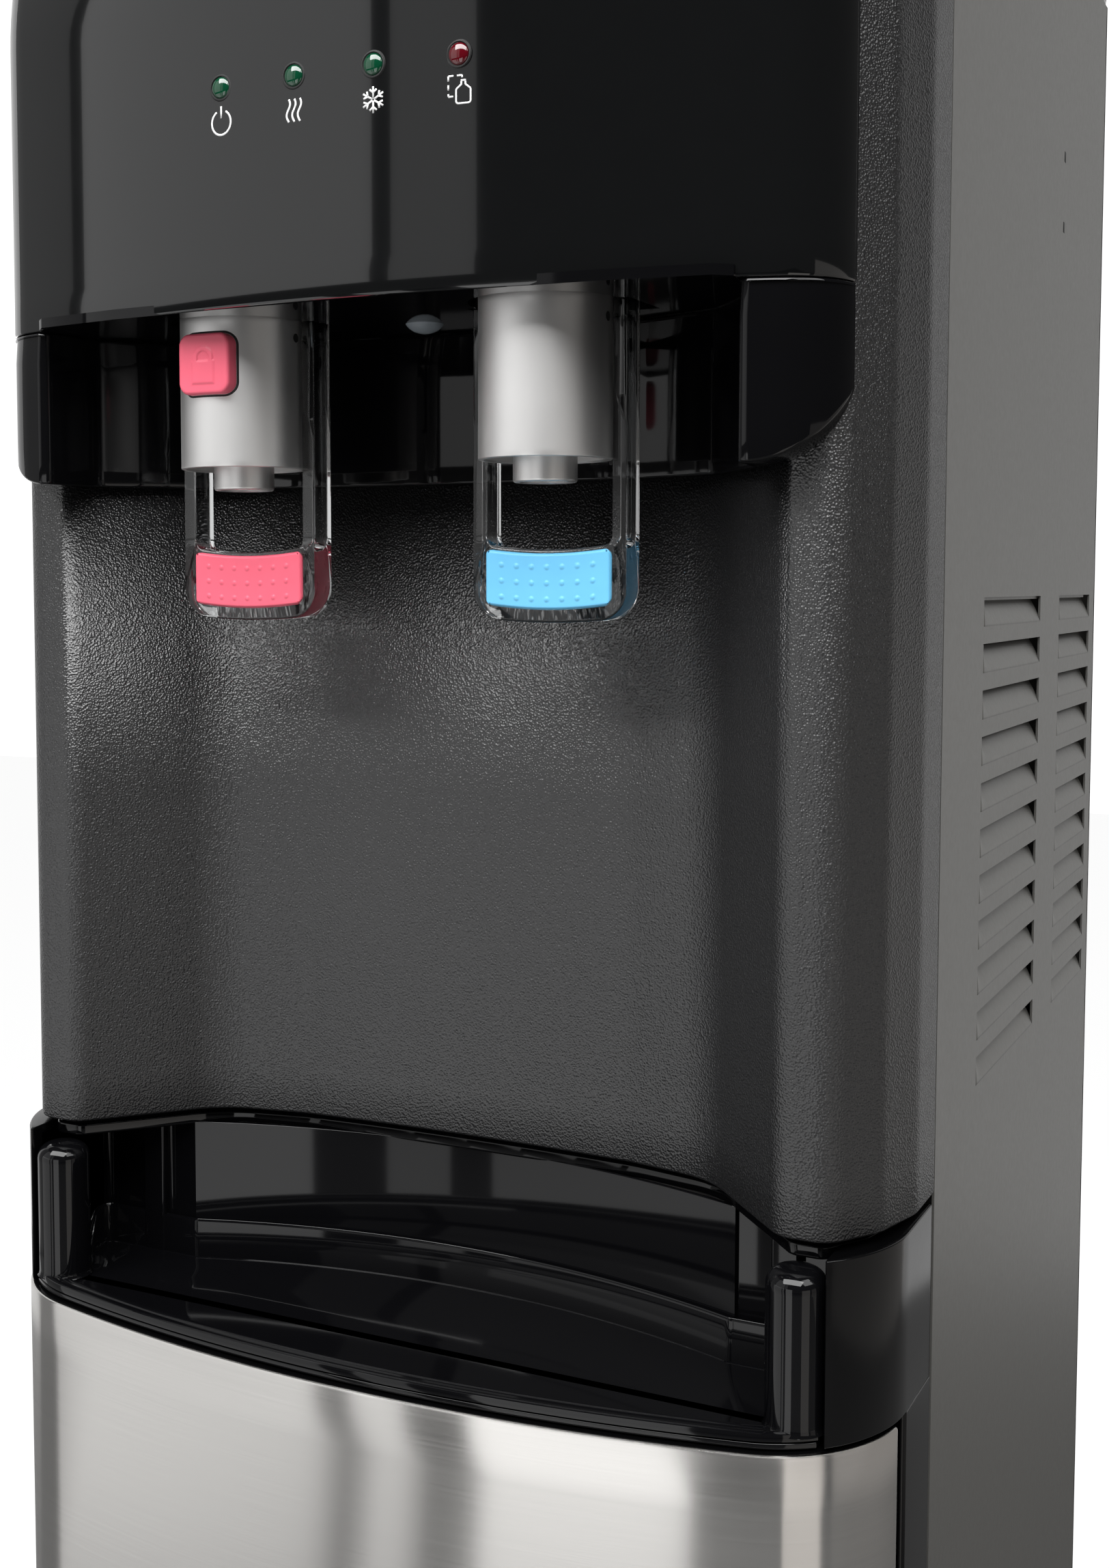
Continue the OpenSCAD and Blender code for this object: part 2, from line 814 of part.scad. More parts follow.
// A straight length of hose from a point, with a rounded start: 0 runs along +X, 1 along +Y, 2 up.
module hose(from, way, length) {
    turns = [[0, 90, 0], [-90, 0, 0], [0, 0, 0]];
    translate(from) {
        sphere(r = hose_r);
        rotate(turns[way]) cylinder(r = hose_r, h = length);
    }
}

module water_hoses() {
    top = 1002;
    supply = at(probe_back);
    cold_y = at(cold_tank_at[1]);
    tank_gap = cold_tank_at[0] - hot_tank_at[0];
    color(clear) {
        hose([0, supply, shelf_z + 8], 2, top - shelf_z - 8);
        hose([hot_tank_at[0], supply, top], 0, tank_gap);
        hose([cold_tank_at[0], supply, top], 1, cold_y - supply);
        translate([cold_tank_at[0], cold_y, top]) sphere(r = hose_r);
        hose([hot_tank_at[0], supply, 983], 2, top - 983);
        hose([cold_tank_at[0], cold_y, 978], 2, top - 978);
        hose([-tap_x, at(73), stem_z], 1, 50);
        hose([tap_x, at(73), stem_z], 1, 80);
    }
}

// ---- Rear fittings ----

module power_gland() {
    color(gloss_black) translate([-100, rear_y - rear_recess - 4, 90]) rotate([-90, 0, 0]) difference() {
        union() {
            cylinder(r = 7.9, h = 12);
            translate([0, 0, 5.2]) cylinder(r = 11, h = 6);
        }
        translate([0, 0, -1]) cylinder(r = 3.6, h = 20);
    }
}

module drain_cap() {
    color(gloss_black) translate([0, rear_y - rear_recess - 6, 612]) rotate([-90, 0, 0]) {
        cylinder(r = 8.9, h = 8);
        translate([0, 0, 7.2]) cylinder(r = 13, h = 9, $fn = 12);
    }
}

switch_z = 880;

module switch_housing() {
    y0 = rear_y - rear_recess;
    color(gloss_black) translate([100, y0, switch_z]) difference() {
        union() {
            translate([-33.8, -14, -12.8]) cube([67.6, 16, 25.6]);
            translate([-37, 1.2, -16]) cube([74, 2, 32]);
        }
        for (x = [-22, 0, 22])
            translate([x - 7.5, -12, -10.5]) cube([15, 20, 21]);
        for (x = [-22, 0, 22])
            translate([x - 9, -2, 0]) rotate([0, 90, 0]) cylinder(r = 1.5, h = 18);
    }
}

// Rocker on a cross pin, higher at one end.
module rocker(x) {
    color("firebrick") translate([100 + x, rear_y - rear_recess - 2, switch_z]) {
        rotate([4, 0, 0]) translate([-6.9, -4, -8.6]) cube([13.8, 9, 17.2]);
        translate([-8.8, 0, 0]) rotate([0, 90, 0]) cylinder(r = 1.45, h = 17.6);
    }
}

module hot_switch() {
    rocker(-22);
}

module cold_switch() {
    rocker(0);
}

module night_light_switch() {
    rocker(22);
}

module rear_screws() {
    color(steel)
        for (x = [-136, 136])
            for (z = [60, 300, 540, 780, 1010])
                translate([x, rear_y - rear_recess + sheet_t, z]) rotate([-90, 0, 0])
                    cylinder(r = 3.4, h = 1.8);
}

// ---- Door ----

module door_plan(inset = 0, back = door_back) {
    bowed_plan(at(inset), door_bow, door_edge_r - inset, half_w - inset, at(back));
}

module bush_bores(r) {
    for (z = [door_bottom - 1, door_top - bush_h])
        translate([hinge_x, at(hinge_back), z]) cylinder(r = r, h = bush_h + 1);
}

bush_h = 10;
skin_t = 1.2;

module door_skin() {
    color(steel) translate([0, 0, door_bottom]) difference() {
        linear_extrude(door_top - door_bottom) door_plan();
        translate([0, 0, -1]) linear_extrude(door_top - door_bottom + 2) door_plan(skin_t, door_back + 4);
    }
}

// Moulded back of the door: a tray, open towards the steel skin.
module door_inner() {
    wall = 3;
    low = door_bottom + wall;
    high = door_top - wall;
    color(white_plastic) difference() {
        translate([0, 0, low]) linear_extrude(high - low) door_plan(skin_t + 0.05);
        translate([-128, at(-10), low + wall])
            cube([256, door_back + 10 - wall, high - low - 2 * wall]);
        bush_bores(bush_r + 0.1);
        translate([118, at(door_back) - 1.2, 284]) cube([16, 3, 32]);
    }
}

module door_cap(z) {
    color(grained_black) difference() {
        translate([0, 0, z]) linear_extrude(3) door_plan(skin_t + 0.05);
        bush_bores(bush_r + 0.1);
    }
}

module door_top_cap() {
    door_cap(door_top - 3);
}

module door_bottom_cap() {
    door_cap(door_bottom);
}

module door_hinge_bushes() {
    color(white_plastic)
        for (z = [door_bottom, door_top - bush_h])
            translate([hinge_x, at(hinge_back), z]) difference() {
                cylinder(r = bush_r, h = bush_h);
                translate([0, 0, -1]) cylinder(r = pin_r + 0.06, h = bush_h + 2);
            }
}

module door_hinge_pins() {
    color(steel) translate([hinge_x, at(hinge_back), 0]) {
        translate([0, 0, base_top - 8]) cylinder(r = pin_r, h = 20);
        translate([0, 0, base_top]) cylinder(r = bush_r, h = door_bottom - base_top - 0.1);
        translate([0, 0, door_top - 8]) cylinder(r = pin_r, h = 12);
    }
}

module door_strike() {
    color(steel) translate([118.2, at(door_back) - 1.2, 284.2]) cube([15.6, 1.2, 31.6]);
}

module door_catch() {
    color(gloss_black) translate([120, at(door_back) + 0.6, 288]) difference() {
        cube([leg_in - 120, 12, 24]);
        translate([17, -1, -1]) cube([20, 7, 26]);
    }
}

base_frame();
levelling_feet();
left_side_panel();
right_side_panel();
rear_panel();
condenser_coil();
condenser_wires();
top_cover();
head_cover();
front_panel();
tap_surround();
night_light_lens();
lower_frame();
niche_liner();
cabinet_liner();
machine_shelves();
tap_carrier();
hot_tap_body();
cold_tap_body();
hot_nozzle();
cold_nozzle();
power_led();
heating_led();
cooling_led();
empty_bottle_led();
control_board();
hot_tank();
cold_tank();
cold_tank_jacket();
compressor();
pump();
water_hoses();
probe_holder();
power_gland();
drain_cap();
paddle_pins();
door_hinge_pins();
door_catch();
switch_housing();
rear_screws();
hot_switch();
cold_switch();
night_light_switch();
door_skin();
door_inner();
door_top_cap();
door_bottom_cap();
door_hinge_bushes();
door_strike();
drip_tray();
hot_paddle();
hot_pad();
cold_paddle();
cold_pad();
hot_valve_stem();
cold_valve_stem();
child_lock_button();
probe_cap();
suction_tube();
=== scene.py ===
import math
import bmesh
import bpy
import numpy as np
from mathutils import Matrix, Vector
from mathutils.geometry import tessellate_polygon


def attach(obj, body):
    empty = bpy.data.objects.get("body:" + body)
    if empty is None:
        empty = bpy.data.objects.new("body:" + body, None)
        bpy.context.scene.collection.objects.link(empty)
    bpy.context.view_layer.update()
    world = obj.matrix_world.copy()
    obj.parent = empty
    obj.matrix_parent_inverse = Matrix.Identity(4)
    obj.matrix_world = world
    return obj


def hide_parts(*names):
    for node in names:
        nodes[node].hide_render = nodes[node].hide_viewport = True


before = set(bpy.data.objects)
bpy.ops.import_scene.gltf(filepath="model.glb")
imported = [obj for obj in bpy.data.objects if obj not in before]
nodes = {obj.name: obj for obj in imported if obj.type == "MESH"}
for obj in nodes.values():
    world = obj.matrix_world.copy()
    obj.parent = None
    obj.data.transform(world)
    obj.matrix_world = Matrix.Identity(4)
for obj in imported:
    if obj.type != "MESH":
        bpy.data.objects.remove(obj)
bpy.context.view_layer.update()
mm = 0.001
doorFront = -178.0      # y of the foremost line of the door; every plan below counts back from it


def addMesh(name, points, faces, material, body=None, replaced=(), slot=None, sharp=35):
    # points in mm and faces as corner lists; edges turned by more than sharp degrees stay crisp
    name = name.replace(" ", "_")
    name += "_finish" if name in nodes else ""
    mesh = bpy.data.meshes.new(name)
    mesh.from_pydata((np.asarray(points, float) * mm).tolist(), [], [list(f) for f in faces])
    mesh.update()
    mesh.validate()
    mesh.shade_smooth()
    mesh.set_sharp_from_angle(angle=math.radians(sharp))
    thing = bpy.data.objects.new(name, mesh)
    bpy.context.scene.collection.objects.link(thing)
    mesh.materials.append(material)
    if body:
        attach(thing, body)
    if replaced:
        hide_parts(*replaced)
    return thing


def gridFaces(across, along, closeAcross=False, closeAlong=False, start=0):
    # quad (i, j) joins points i and i + 1 across with j and j + 1 along; a closed way wraps round
    i = np.arange(across if closeAcross else across - 1)
    j = np.arange(along if closeAlong else along - 1)
    i, j = np.meshgrid(i, j, indexing="ij")
    i2, j2 = (i + 1) % across, (j + 1) % along
    quads = [i * along + j, i2 * along + j, i2 * along + j2, i * along + j2]
    return start + np.stack(quads, -1).reshape(-1, 4)


def evenly(path, count):
    # equal steps of arc length along a polyline
    path = np.asarray(path, float)
    run = np.concatenate([[0], np.cumsum(np.linalg.norm(np.diff(path, axis=0), axis=1))])
    s = np.linspace(0, run[-1], count)
    return np.stack([np.interp(s, run, path[:, k]) for k in range(path.shape[1])], 1)


def arcPoints(cx, cy, r, a0, a1, count):
    # centre + r * (cos a, sin a), a running from a0 to a1 degrees
    a = np.radians(np.linspace(a0, a1, count))
    return np.stack([cx + r * np.cos(a), cy + r * np.sin(a)], 1)


def filleted(corners, steps=12):
    # corners: (x, y, radius); each corner is replaced by a tangent arc of its radius
    nearlyStraight = 1.567      # half the angle of a corner too flat to round, in radians
    out = [np.array([corners[0][:2]], float)]
    for before, here, after in zip(corners, corners[1:], corners[2:]):
        p0, p, p1 = (np.array(c[:2], float) for c in (before, here, after))
        u, v = (p0 - p) / np.linalg.norm(p0 - p), (p1 - p) / np.linalg.norm(p1 - p)
        half = math.acos(np.clip(u @ v, -1, 1)) / 2
        r = here[2]
        if r == 0 or half > nearlyStraight:
            out.append(p[None])
            continue
        reach = r / math.tan(half)
        centre = p + (u + v) / np.linalg.norm(u + v) * r / math.sin(half)
        a = p + u * reach - centre
        b = p + v * reach - centre
        t = np.linspace(0, 1, steps)[:, None]
        angle = math.acos(np.clip(a @ b / r / r, -1, 1))
        out.append(centre + (np.sin((1 - t) * angle) * a + np.sin(t * angle) * b) / math.sin(angle))
    out.append(np.array([corners[-1][:2]], float))
    return np.concatenate(out)


def bothSides(right):
    # a right-hand half path with its mirror image before it; a point on the middle line isn't doubled
    left = right[::-1] * [-1, 1]
    return np.concatenate([left[:-1] if abs(right[0][0]) < 1e-6 else left, right])


def mirrored(plan, sign):
    # the plan itself for the right side; for the left, x changes sign and the order turns round
    return plan * [sign, 1] if sign > 0 else (plan * [-1, 1])[::-1]


def outwards(path, closed=False):
    # unit normals, to the right of the way the path runs
    step = (np.roll(path, -1, 0) - np.roll(path, 1, 0)) if closed else np.gradient(path, axis=0)
    n = np.stack([step[:, 1], -step[:, 0]], 1)
    return n / np.linalg.norm(n, axis=1, keepdims=True)


def wall(path, rings, closed=False):
    # a plan path lifted through rings (z, inset): point = path - normal * inset
    n = outwards(path, closed)
    z = np.array([r[0] for r in rings], float)
    inset = np.array([r[1] for r in rings], float)
    xy = path[:, None, :] - n[:, None, :] * inset[None, :, None]
    return np.concatenate([xy, np.broadcast_to(z[None, :, None], xy.shape[:2] + (1,))], 2)


def bordered(surface):
    # a second row up to a quarter of a millimetre inside each end: end + way * step / max(length, least)
    step, least = 0.25, 0.6
    first, last = surface[:1], surface[-1:]
    inward = surface[1:2] - first
    back = surface[-2:-1] - last
    near = first + inward * step / np.maximum(np.linalg.norm(inward, axis=2, keepdims=True), least)
    far = last + back * step / np.maximum(np.linalg.norm(back, axis=2, keepdims=True), least)
    return np.concatenate([first, near, surface[1:-1], far, last])


def endCaps(across, along):
    # one face over each end of a tube, turned the way its wall is
    return [[i * along for i in range(across)][::-1], [i * along + along - 1 for i in range(across)]]


def thicken(thing, thick):
    # a wall of this many mm, grown inwards from the surface
    solid = thing.modifiers.new("thickness", "SOLIDIFY")
    solid.thickness = thick * mm
    solid.offset = -1


def shell(name, surface, material, thick=0, closeAcross=False, closeAlong=False, keep=None, **rest):
    # a grid of points as one skin: a closed tube gets end faces, an open sheet its thickness
    if thick and not closeAcross:
        surface = bordered(surface)
    if thick and not closeAlong:
        surface = bordered(surface.transpose(1, 0, 2)).transpose(1, 0, 2)
    across, along = surface.shape[:2]
    faces = gridFaces(across, along, closeAcross, closeAlong)
    points = surface.reshape(-1, 3)
    if keep is not None:
        faces = faces[keep(points[faces].mean(1))]
    faces = faces.tolist()
    if closeAcross and not closeAlong and not thick:
        faces += endCaps(across, along)
    thing = addMesh(name, points, faces, material, **rest)
    if thick:
        thicken(thing, thick)
    return thing


def block(name, plan, rings, material, **rest):
    # closed plan, anticlockwise, with rounded upper and lower edges and flat ends
    surface = wall(plan, rings, True)
    across, along = surface.shape[:2]
    faces = gridFaces(across, along, True).tolist() + endCaps(across, along)
    return addMesh(name, surface.reshape(-1, 3), faces, material, **rest)


def turned(name, profile, x, back, material, along="z", count=72, **rest):
    # profile (radius, height) turned about a vertical axis, or one that points back
    r, h = np.asarray(profile, float).T
    a = np.linspace(0, 2 * np.pi, count, endpoint=False)[:, None]
    ring, side, lift = r * np.cos(a), r * np.sin(a), np.broadcast_to(h, (count, len(h)))
    if along == "z":
        surface = np.stack([x + ring, doorFront + back + side, lift], 2)
    else:
        surface = np.stack([x + ring, doorFront + back + lift, rest.pop("z") - side], 2)
    return shell(name, surface, material, closeAcross=True, **rest)


def edge(r, low, high, steps=5):
    # rings of a vertical wall whose two edges are rounded to radius r
    t = np.linspace(0, np.pi / 2, steps)
    down = [(low + r - r * math.sin(a), r - r * math.cos(a)) for a in t[::-1]]
    up = [(high - r + r * math.sin(a), r - r * math.cos(a)) for a in t]
    return down + up


def setValues(node, values):
    # fixed values straight onto a node's own inputs
    for key, value in values.items():
        node.inputs[key].default_value = value


def addNode(tree, kind, values=None):
    # a new node of this kind with its fixed values
    made = tree.nodes.new("ShaderNode" + kind)
    setValues(made, values or {})
    return made


def join(tree, *links):
    # each link is (node, its output, next node, its input)
    for source, output, target, socket in links:
        tree.links.new(source.outputs[output], target.inputs[socket])


def shader(name, base, rough, metal=0.0, coat=0.0, coatRough=0.05, aniso=0.0, ior=1.5, **rest):
    # noise on Object coordinates sways the colour by spread and the roughness by sway;
    # the bump follows the same noise, or rounded cells where a cell scale is given
    made = bpy.data.materials.new(name)
    made.use_nodes = True
    tree = made.node_tree
    bsdf = tree.nodes["Principled BSDF"]
    setValues(bsdf, {"Metallic": metal, "Coat Weight": coat, "Coat Roughness": coatRough,
                     "Anisotropic": aniso, "IOR": ior, **rest.get("sockets", {})})
    coords = addNode(tree, "TexCoord")
    place = addNode(tree, "Mapping", {"Scale": rest.get("stretch", (1, 1, 1))})
    grain = addNode(tree, "TexNoise", {"Scale": rest.get("scale", 40), "Detail": rest.get("detail", 4)})
    tint = addNode(tree, "Mix")
    tint.data_type = "RGBA"
    spread = rest.get("spread", 0.08)
    setValues(tint, {"A": [c * (1 - spread) for c in base] + [1],
                     "B": [min(1, c * (1 + spread)) for c in base] + [1]})
    sway = rest.get("sway", 0.15)
    polish = addNode(tree, "MapRange", {"To Min": rough * (1 - sway), "To Max": rough * (1 + sway)})
    join(tree, (coords, "Object", place, "Vector"), (place, "Vector", grain, "Vector"),
         (grain, "Fac", tint, "Factor"), (tint, "Result", bsdf, "Base Color"),
         (grain, "Fac", polish, "Value"), (polish, "Result", bsdf, "Roughness"))
    if rest.get("bump"):
        relief = addNode(tree, "Bump", {"Strength": rest["bump"], "Distance": rest.get("depth", 0.0002)})
        source, output = grain, "Fac"
        if "cells" in rest:
            source, output = addNode(tree, "TexVoronoi"), "Distance"
            source.feature = "SMOOTH_F1"
            setValues(source, {"Scale": rest["cells"], "Smoothness": 0.6})
            join(tree, (coords, "Object", source, "Vector"))
        join(tree, (source, output, relief, "Height"), (relief, "Normal", bsdf, "Normal"))
    return made


charcoal = shader("charcoal gloss", (0.003, 0.0033, 0.0036), 0.07, coat=0.8, coatRough=0.03, scale=90)
glossBlack = shader("gloss black", (0.0025, 0.0025, 0.003), 0.05, ior=1.42, scale=60)
grained = shader("grained black", (0.0105, 0.0105, 0.0112), 0.36, scale=900, bump=0.7, depth=0.0004,
                 cells=1500, sway=0.2, sockets={"Specular IOR Level": 1.0})
satinBlack = shader("satin black", (0.0016, 0.0016, 0.0018), 0.16, ior=1.4, scale=300, bump=0.1, depth=0.0001)
inner = shader("dark inside", (0.01, 0.01, 0.01), 0.6, scale=100)
panelGrey = shader("panel grey", (0.15, 0.147, 0.138), 0.42, metal=0.4, scale=500, spread=0.04,
                   bump=0.04, depth=0.0001)
stainless = shader("brushed stainless", (0.64, 0.625, 0.605), 0.2, metal=1.0, scale=16, spread=0.07,
                   stretch=(1, 1, 130), detail=8, sway=0.12, bump=0.03, depth=0.0001, aniso=1.0,
                   sockets={"Anisotropic Rotation": 0.25})
silver = shader("satin silver", (0.92, 0.91, 0.9), 0.42, metal=1.0, scale=60, spread=0.02, sway=0.03)
chrome = shader("bright steel", (0.7, 0.7, 0.7), 0.18, metal=1.0, scale=80)
pinkRubber = shader("pink rubber", (0.86, 0.13, 0.2), 0.42, scale=200, spread=0.04, bump=0.05)
blueRubber = shader("sky blue rubber", (0.16, 0.55, 0.87), 0.42, scale=200, spread=0.04, bump=0.05)
whitePlastic = shader("white plastic", (0.78, 0.78, 0.77), 0.4, scale=120, spread=0.03, bump=0.05)
inkWhite = shader("printed white", (0.85, 0.85, 0.85), 0.5, scale=200, spread=0.02)
lens = shader("frosted lens", (0.55, 0.62, 0.68), 0.2, scale=90, sockets={"Transmission Weight": 0.5})
acrylic = shader("clear acrylic", (0.97, 0.98, 0.985), 0.02, scale=50, spread=0.01, ior=1.49,
                 sockets={"Transmission Weight": 1.0})
greenLens = shader("green lens", (0.0, 0.05, 0.02), 0.06, coat=1.0, scale=60)
redLens = shader("red lens", (0.09, 0.0, 0.004), 0.06, coat=1.0, scale=60)
boardGreen = shader("circuit board", (0.02, 0.12, 0.05), 0.4, scale=150)
foam = shader("foam", (0.8, 0.8, 0.76), 0.9, scale=120, bump=0.3)
hoseClear = shader("silicone hose", (0.7, 0.73, 0.75), 0.35, scale=60, sockets={"Transmission Weight": 0.4})
orange = shader("orange plastic", (0.8, 0.3, 0.03), 0.4, scale=90)
redSwitch = shader("red switch", (0.45, 0.01, 0.01), 0.25, scale=90)
greenSwitch = shader("green switch", (0.01, 0.2, 0.06), 0.25, scale=90)
blueCap = shader("blue cap", (0.03, 0.12, 0.4), 0.35, scale=90)

nodeFinish = {
    "base_frame": satinBlack, "levelling_feet": inner, "left_side_panel": panelGrey,
    "right_side_panel": panelGrey, "rear_panel": panelGrey, "condenser_coil": inner,
    "condenser_wires": inner, "top_cover": charcoal, "head_cover": charcoal, "front_panel": grained,
    "tap_surround": glossBlack, "night_light_lens": lens, "lower_frame": satinBlack,
    "niche_liner": glossBlack, "cabinet_liner": whitePlastic, "machine_shelves": panelGrey,
    "tap_carrier": whitePlastic, "hot_tap_body": silver, "cold_tap_body": silver,
    "hot_nozzle": silver, "cold_nozzle": silver, "power_led": greenLens, "heating_led": greenLens,
    "cooling_led": greenLens, "empty_bottle_led": redLens, "control_board": boardGreen,
    "hot_tank": chrome, "cold_tank": chrome, "cold_tank_jacket": foam, "compressor": inner,
    "pump": inner, "water_hoses": hoseClear, "probe_holder": whitePlastic, "power_gland": inner,
    "drain_cap": inner, "paddle_pins": chrome, "door_hinge_pins": chrome, "door_catch": inner,
    "switch_housing": satinBlack, "rear_screws": chrome, "hot_switch": redSwitch,
    "cold_switch": greenSwitch, "night_light_switch": satinBlack, "door_skin": stainless,
    "door_inner": satinBlack, "door_top_cap": satinBlack, "door_bottom_cap": satinBlack,
    "door_hinge_bushes": whitePlastic, "door_strike": chrome, "drip_tray": glossBlack,
    "hot_paddle": acrylic, "hot_pad": pinkRubber, "cold_paddle": acrylic, "cold_pad": blueRubber,
    "hot_valve_stem": orange, "cold_valve_stem": blueCap, "child_lock_button": pinkRubber,
    "probe_cap": blueCap, "suction_tube": chrome,
}
for name, finish in nodeFinish.items():
    nodes[name].data.materials.clear()
    nodes[name].data.materials.append(finish)
print("materials on", len(nodeFinish), "nodes")


def bowed(front, bow, edgeR, half, back):
    # wide front arc that blends into two straight sides; they stop at the back line
    cx = half - edgeR
    run = math.sqrt((bow - edgeR) ** 2 - cx ** 2)
    cy = front + bow - run
    turn = math.degrees(math.atan2(cx, run))
    short = math.degrees(math.asin((cy - back) / edgeR)) if cy > back else 0
    right = np.concatenate([arcPoints(0, front + bow, bow, 270, 270 + turn, 60),
                            arcPoints(cx, cy, edgeR, 270 + turn, 360 - short, 40)[1:]])
    if cy < back:
        right = np.concatenate([right, [[half, back]]])
    return bothSides(right)


panel = {"low": 605.0, "open": 823.0, "high": 1027.6, "thick": 3.0, "pocketHalf": 126.0, "back": 86.0}
# hollow middle, shoulder, flat pillar, rounded flank
panelRight = filleted([(0, 76, 0), (20, 75.8, 0), (40, 75.1, 0), (60, 74, 60), (90, 68, 30),
                       (124.5, 29.5, 10), (139.5, 29.5, 10), (150, 46, 12), (155, 66, 20),
                       (155, panel["back"], 0)])
panelPath = bothSides(panelRight)
seat = np.array([0, doorFront])


def panelBack(x):
    # how far behind the door's front the grained panel is, at a distance from the middle
    keepRising = np.concatenate([[True], np.diff(panelRight[:, 0]) > 1e-6])
    return np.interp(np.abs(x), panelRight[keepRising, 0], panelRight[keepRising, 1])


panelRings = [(panel["low"], 1.0), (panel["low"] + 0.3, 0.4), (panel["low"] + 1, 0), (620, 0), (720, 0),
              (panel["open"], 0), (900, 0), (panel["high"], 0)]
shell("grained front", wall(evenly(panelPath, 401) + seat, panelRings), grained, panel["thick"],
      keep=lambda c: (np.abs(c[:, 0]) > panel["pocketHalf"]) | (c[:, 2] < panel["open"]),
      body="cabinet", replaced=["front_panel"], slot="front_panel")
print("grained front")

head = {"lip": 869.0, "brow": 960.0, "browR": 140.0, "high": 1027.6, "bow": 425.0, "edgeR": 24.0,
        "half": 142.5, "narrowing": 0.3, "front": -6.0, "back": 44, "thick": 0.9, "count": 241}


def browLean(z):
    # the brow leans back on an arc: lean = R - sqrt(R^2 - h^2), h above the brow line
    h = max(z - head["brow"], 0)
    return head["browR"] - math.sqrt(head["browR"] ** 2 - h * h)


def headPath(lean, inset=0):
    # plan of the head at one height, moved back by lean and in by inset
    return bowed(head["front"] + lean + inset, head["bow"], head["edgeR"] - inset,
                 head["half"] - head["narrowing"] * lean - inset, head["back"])


# (height, inset): rolled lip, upright face, leaning brow, rolled upper edge
lipTurn = ((1.2, 1.4), (0.3, 1.0), (0, 0.6), (0.2, 0.2), (0.8, 0))
headRings = ([(head["lip"] + up, inset) for up, inset in lipTurn]
             + [(z, 0) for z in np.linspace(880, 955, 6)]
             + [(z, 0) for z in np.linspace(960, 1018, 12)]
             + [(1022, 0.4), (1025.5, 1.4), (1027.2, 3), (head["high"], 5)])
headSurface = np.stack([np.column_stack([evenly(headPath(browLean(z), inset), head["count"]) + seat,
                                         np.full(head["count"], z)]) for z, inset in headRings], 1)
shell("head cover", headSurface, charcoal, head["thick"], body="cabinet", replaced=["head_cover"],
      slot="head_cover")


def headBack(x):
    # the upright face's distance back at x: front + R - sqrt(R^2 - x^2)
    return head["front"] + head["bow"] - np.sqrt(head["bow"] ** 2 - np.square(x))


lid = {"low": 1028.0, "high": 1040.0, "edge": 4.5, "joint": 31, "half": 155, "back": 361, "cornerR": 3}
browPath = headPath(browLean(lid["low"]))
browRight = browPath[(browPath[:, 0] >= 0) & (browPath[:, 1] < lid["joint"])]
pillarRight = panelRight[(panelRight[:, 0] > browRight[:, 0].max()) & (panelRight[:, 1] > lid["joint"])]
lidRight = filleted([(*p, 0) for p in browRight] + [(*p, 0) for p in pillarRight]
                    + [(lid["half"], lid["back"], lid["cornerR"]), (0, lid["back"], 0)])
lidPlan = bothSides(evenly(lidRight, 200))[:-1] + seat
lidRings = [(lid["low"], 1.0), (lid["low"] + 0.6, 0.2), (lid["low"] + 1.4, 0)]
lidRings += edge(lid["edge"], lid["low"], lid["high"], 8)[8:]      # only the upper edge is rounded
block("lid", lidPlan, lidRings, charcoal, body="cabinet", replaced=["top_cover"], slot="top_cover")
print("head and lid")

surround = {"low": 820.5, "high": 868.8, "cornerX": 118.5, "cornerR": 24.0, "ceiling": 871.0, "edge": 0.9,
            "noseFrom": 117.8, "foldAt": 40, "atFront": [0, 93, 117, 130, 142.5],
            "atBack": [0, 95, 122, 131, 142.5], "gap": 0.3, "leastDeep": 1.0, "deepest": 45}
pocketRight = filleted([(0, 73.4, 0), (20, 73.2, 0), (40, 72.6, 0), (62, 71.4, 40), (93, 60, 9), (114, 34, 9),
                        (116.6, 8.6, 0)])
noseArc = headPath(0, 0.2)
noseArc = noseArc[noseArc[:, 0] > surround["noseFrom"]]
noseFront = np.concatenate([pocketRight[:-1], [[116.55, 13.5], [117.0, 12.3]],
                            noseArc[noseArc[:, 1] < surround["foldAt"]]])
outer = evenly(noseFront, 260)
# each front point is joined to one on the grained panel behind it
reach = np.interp(outer[:, 0], surround["atFront"], surround["atBack"])
behind = np.stack([reach, panelBack(reach) - surround["gap"]], 1)
behind[:, 1] = np.maximum(behind[:, 1], np.minimum(outer[:, 1] + surround["leastDeep"], surround["deepest"]))


def cornerLow(x):
    # lower outline seen from the front: flat, then a quarter circle at each end
    past = np.clip(np.abs(x) - surround["cornerX"], 0, surround["cornerR"])
    return surround["low"] + surround["cornerR"] - np.sqrt(surround["cornerR"] ** 2 - past ** 2)


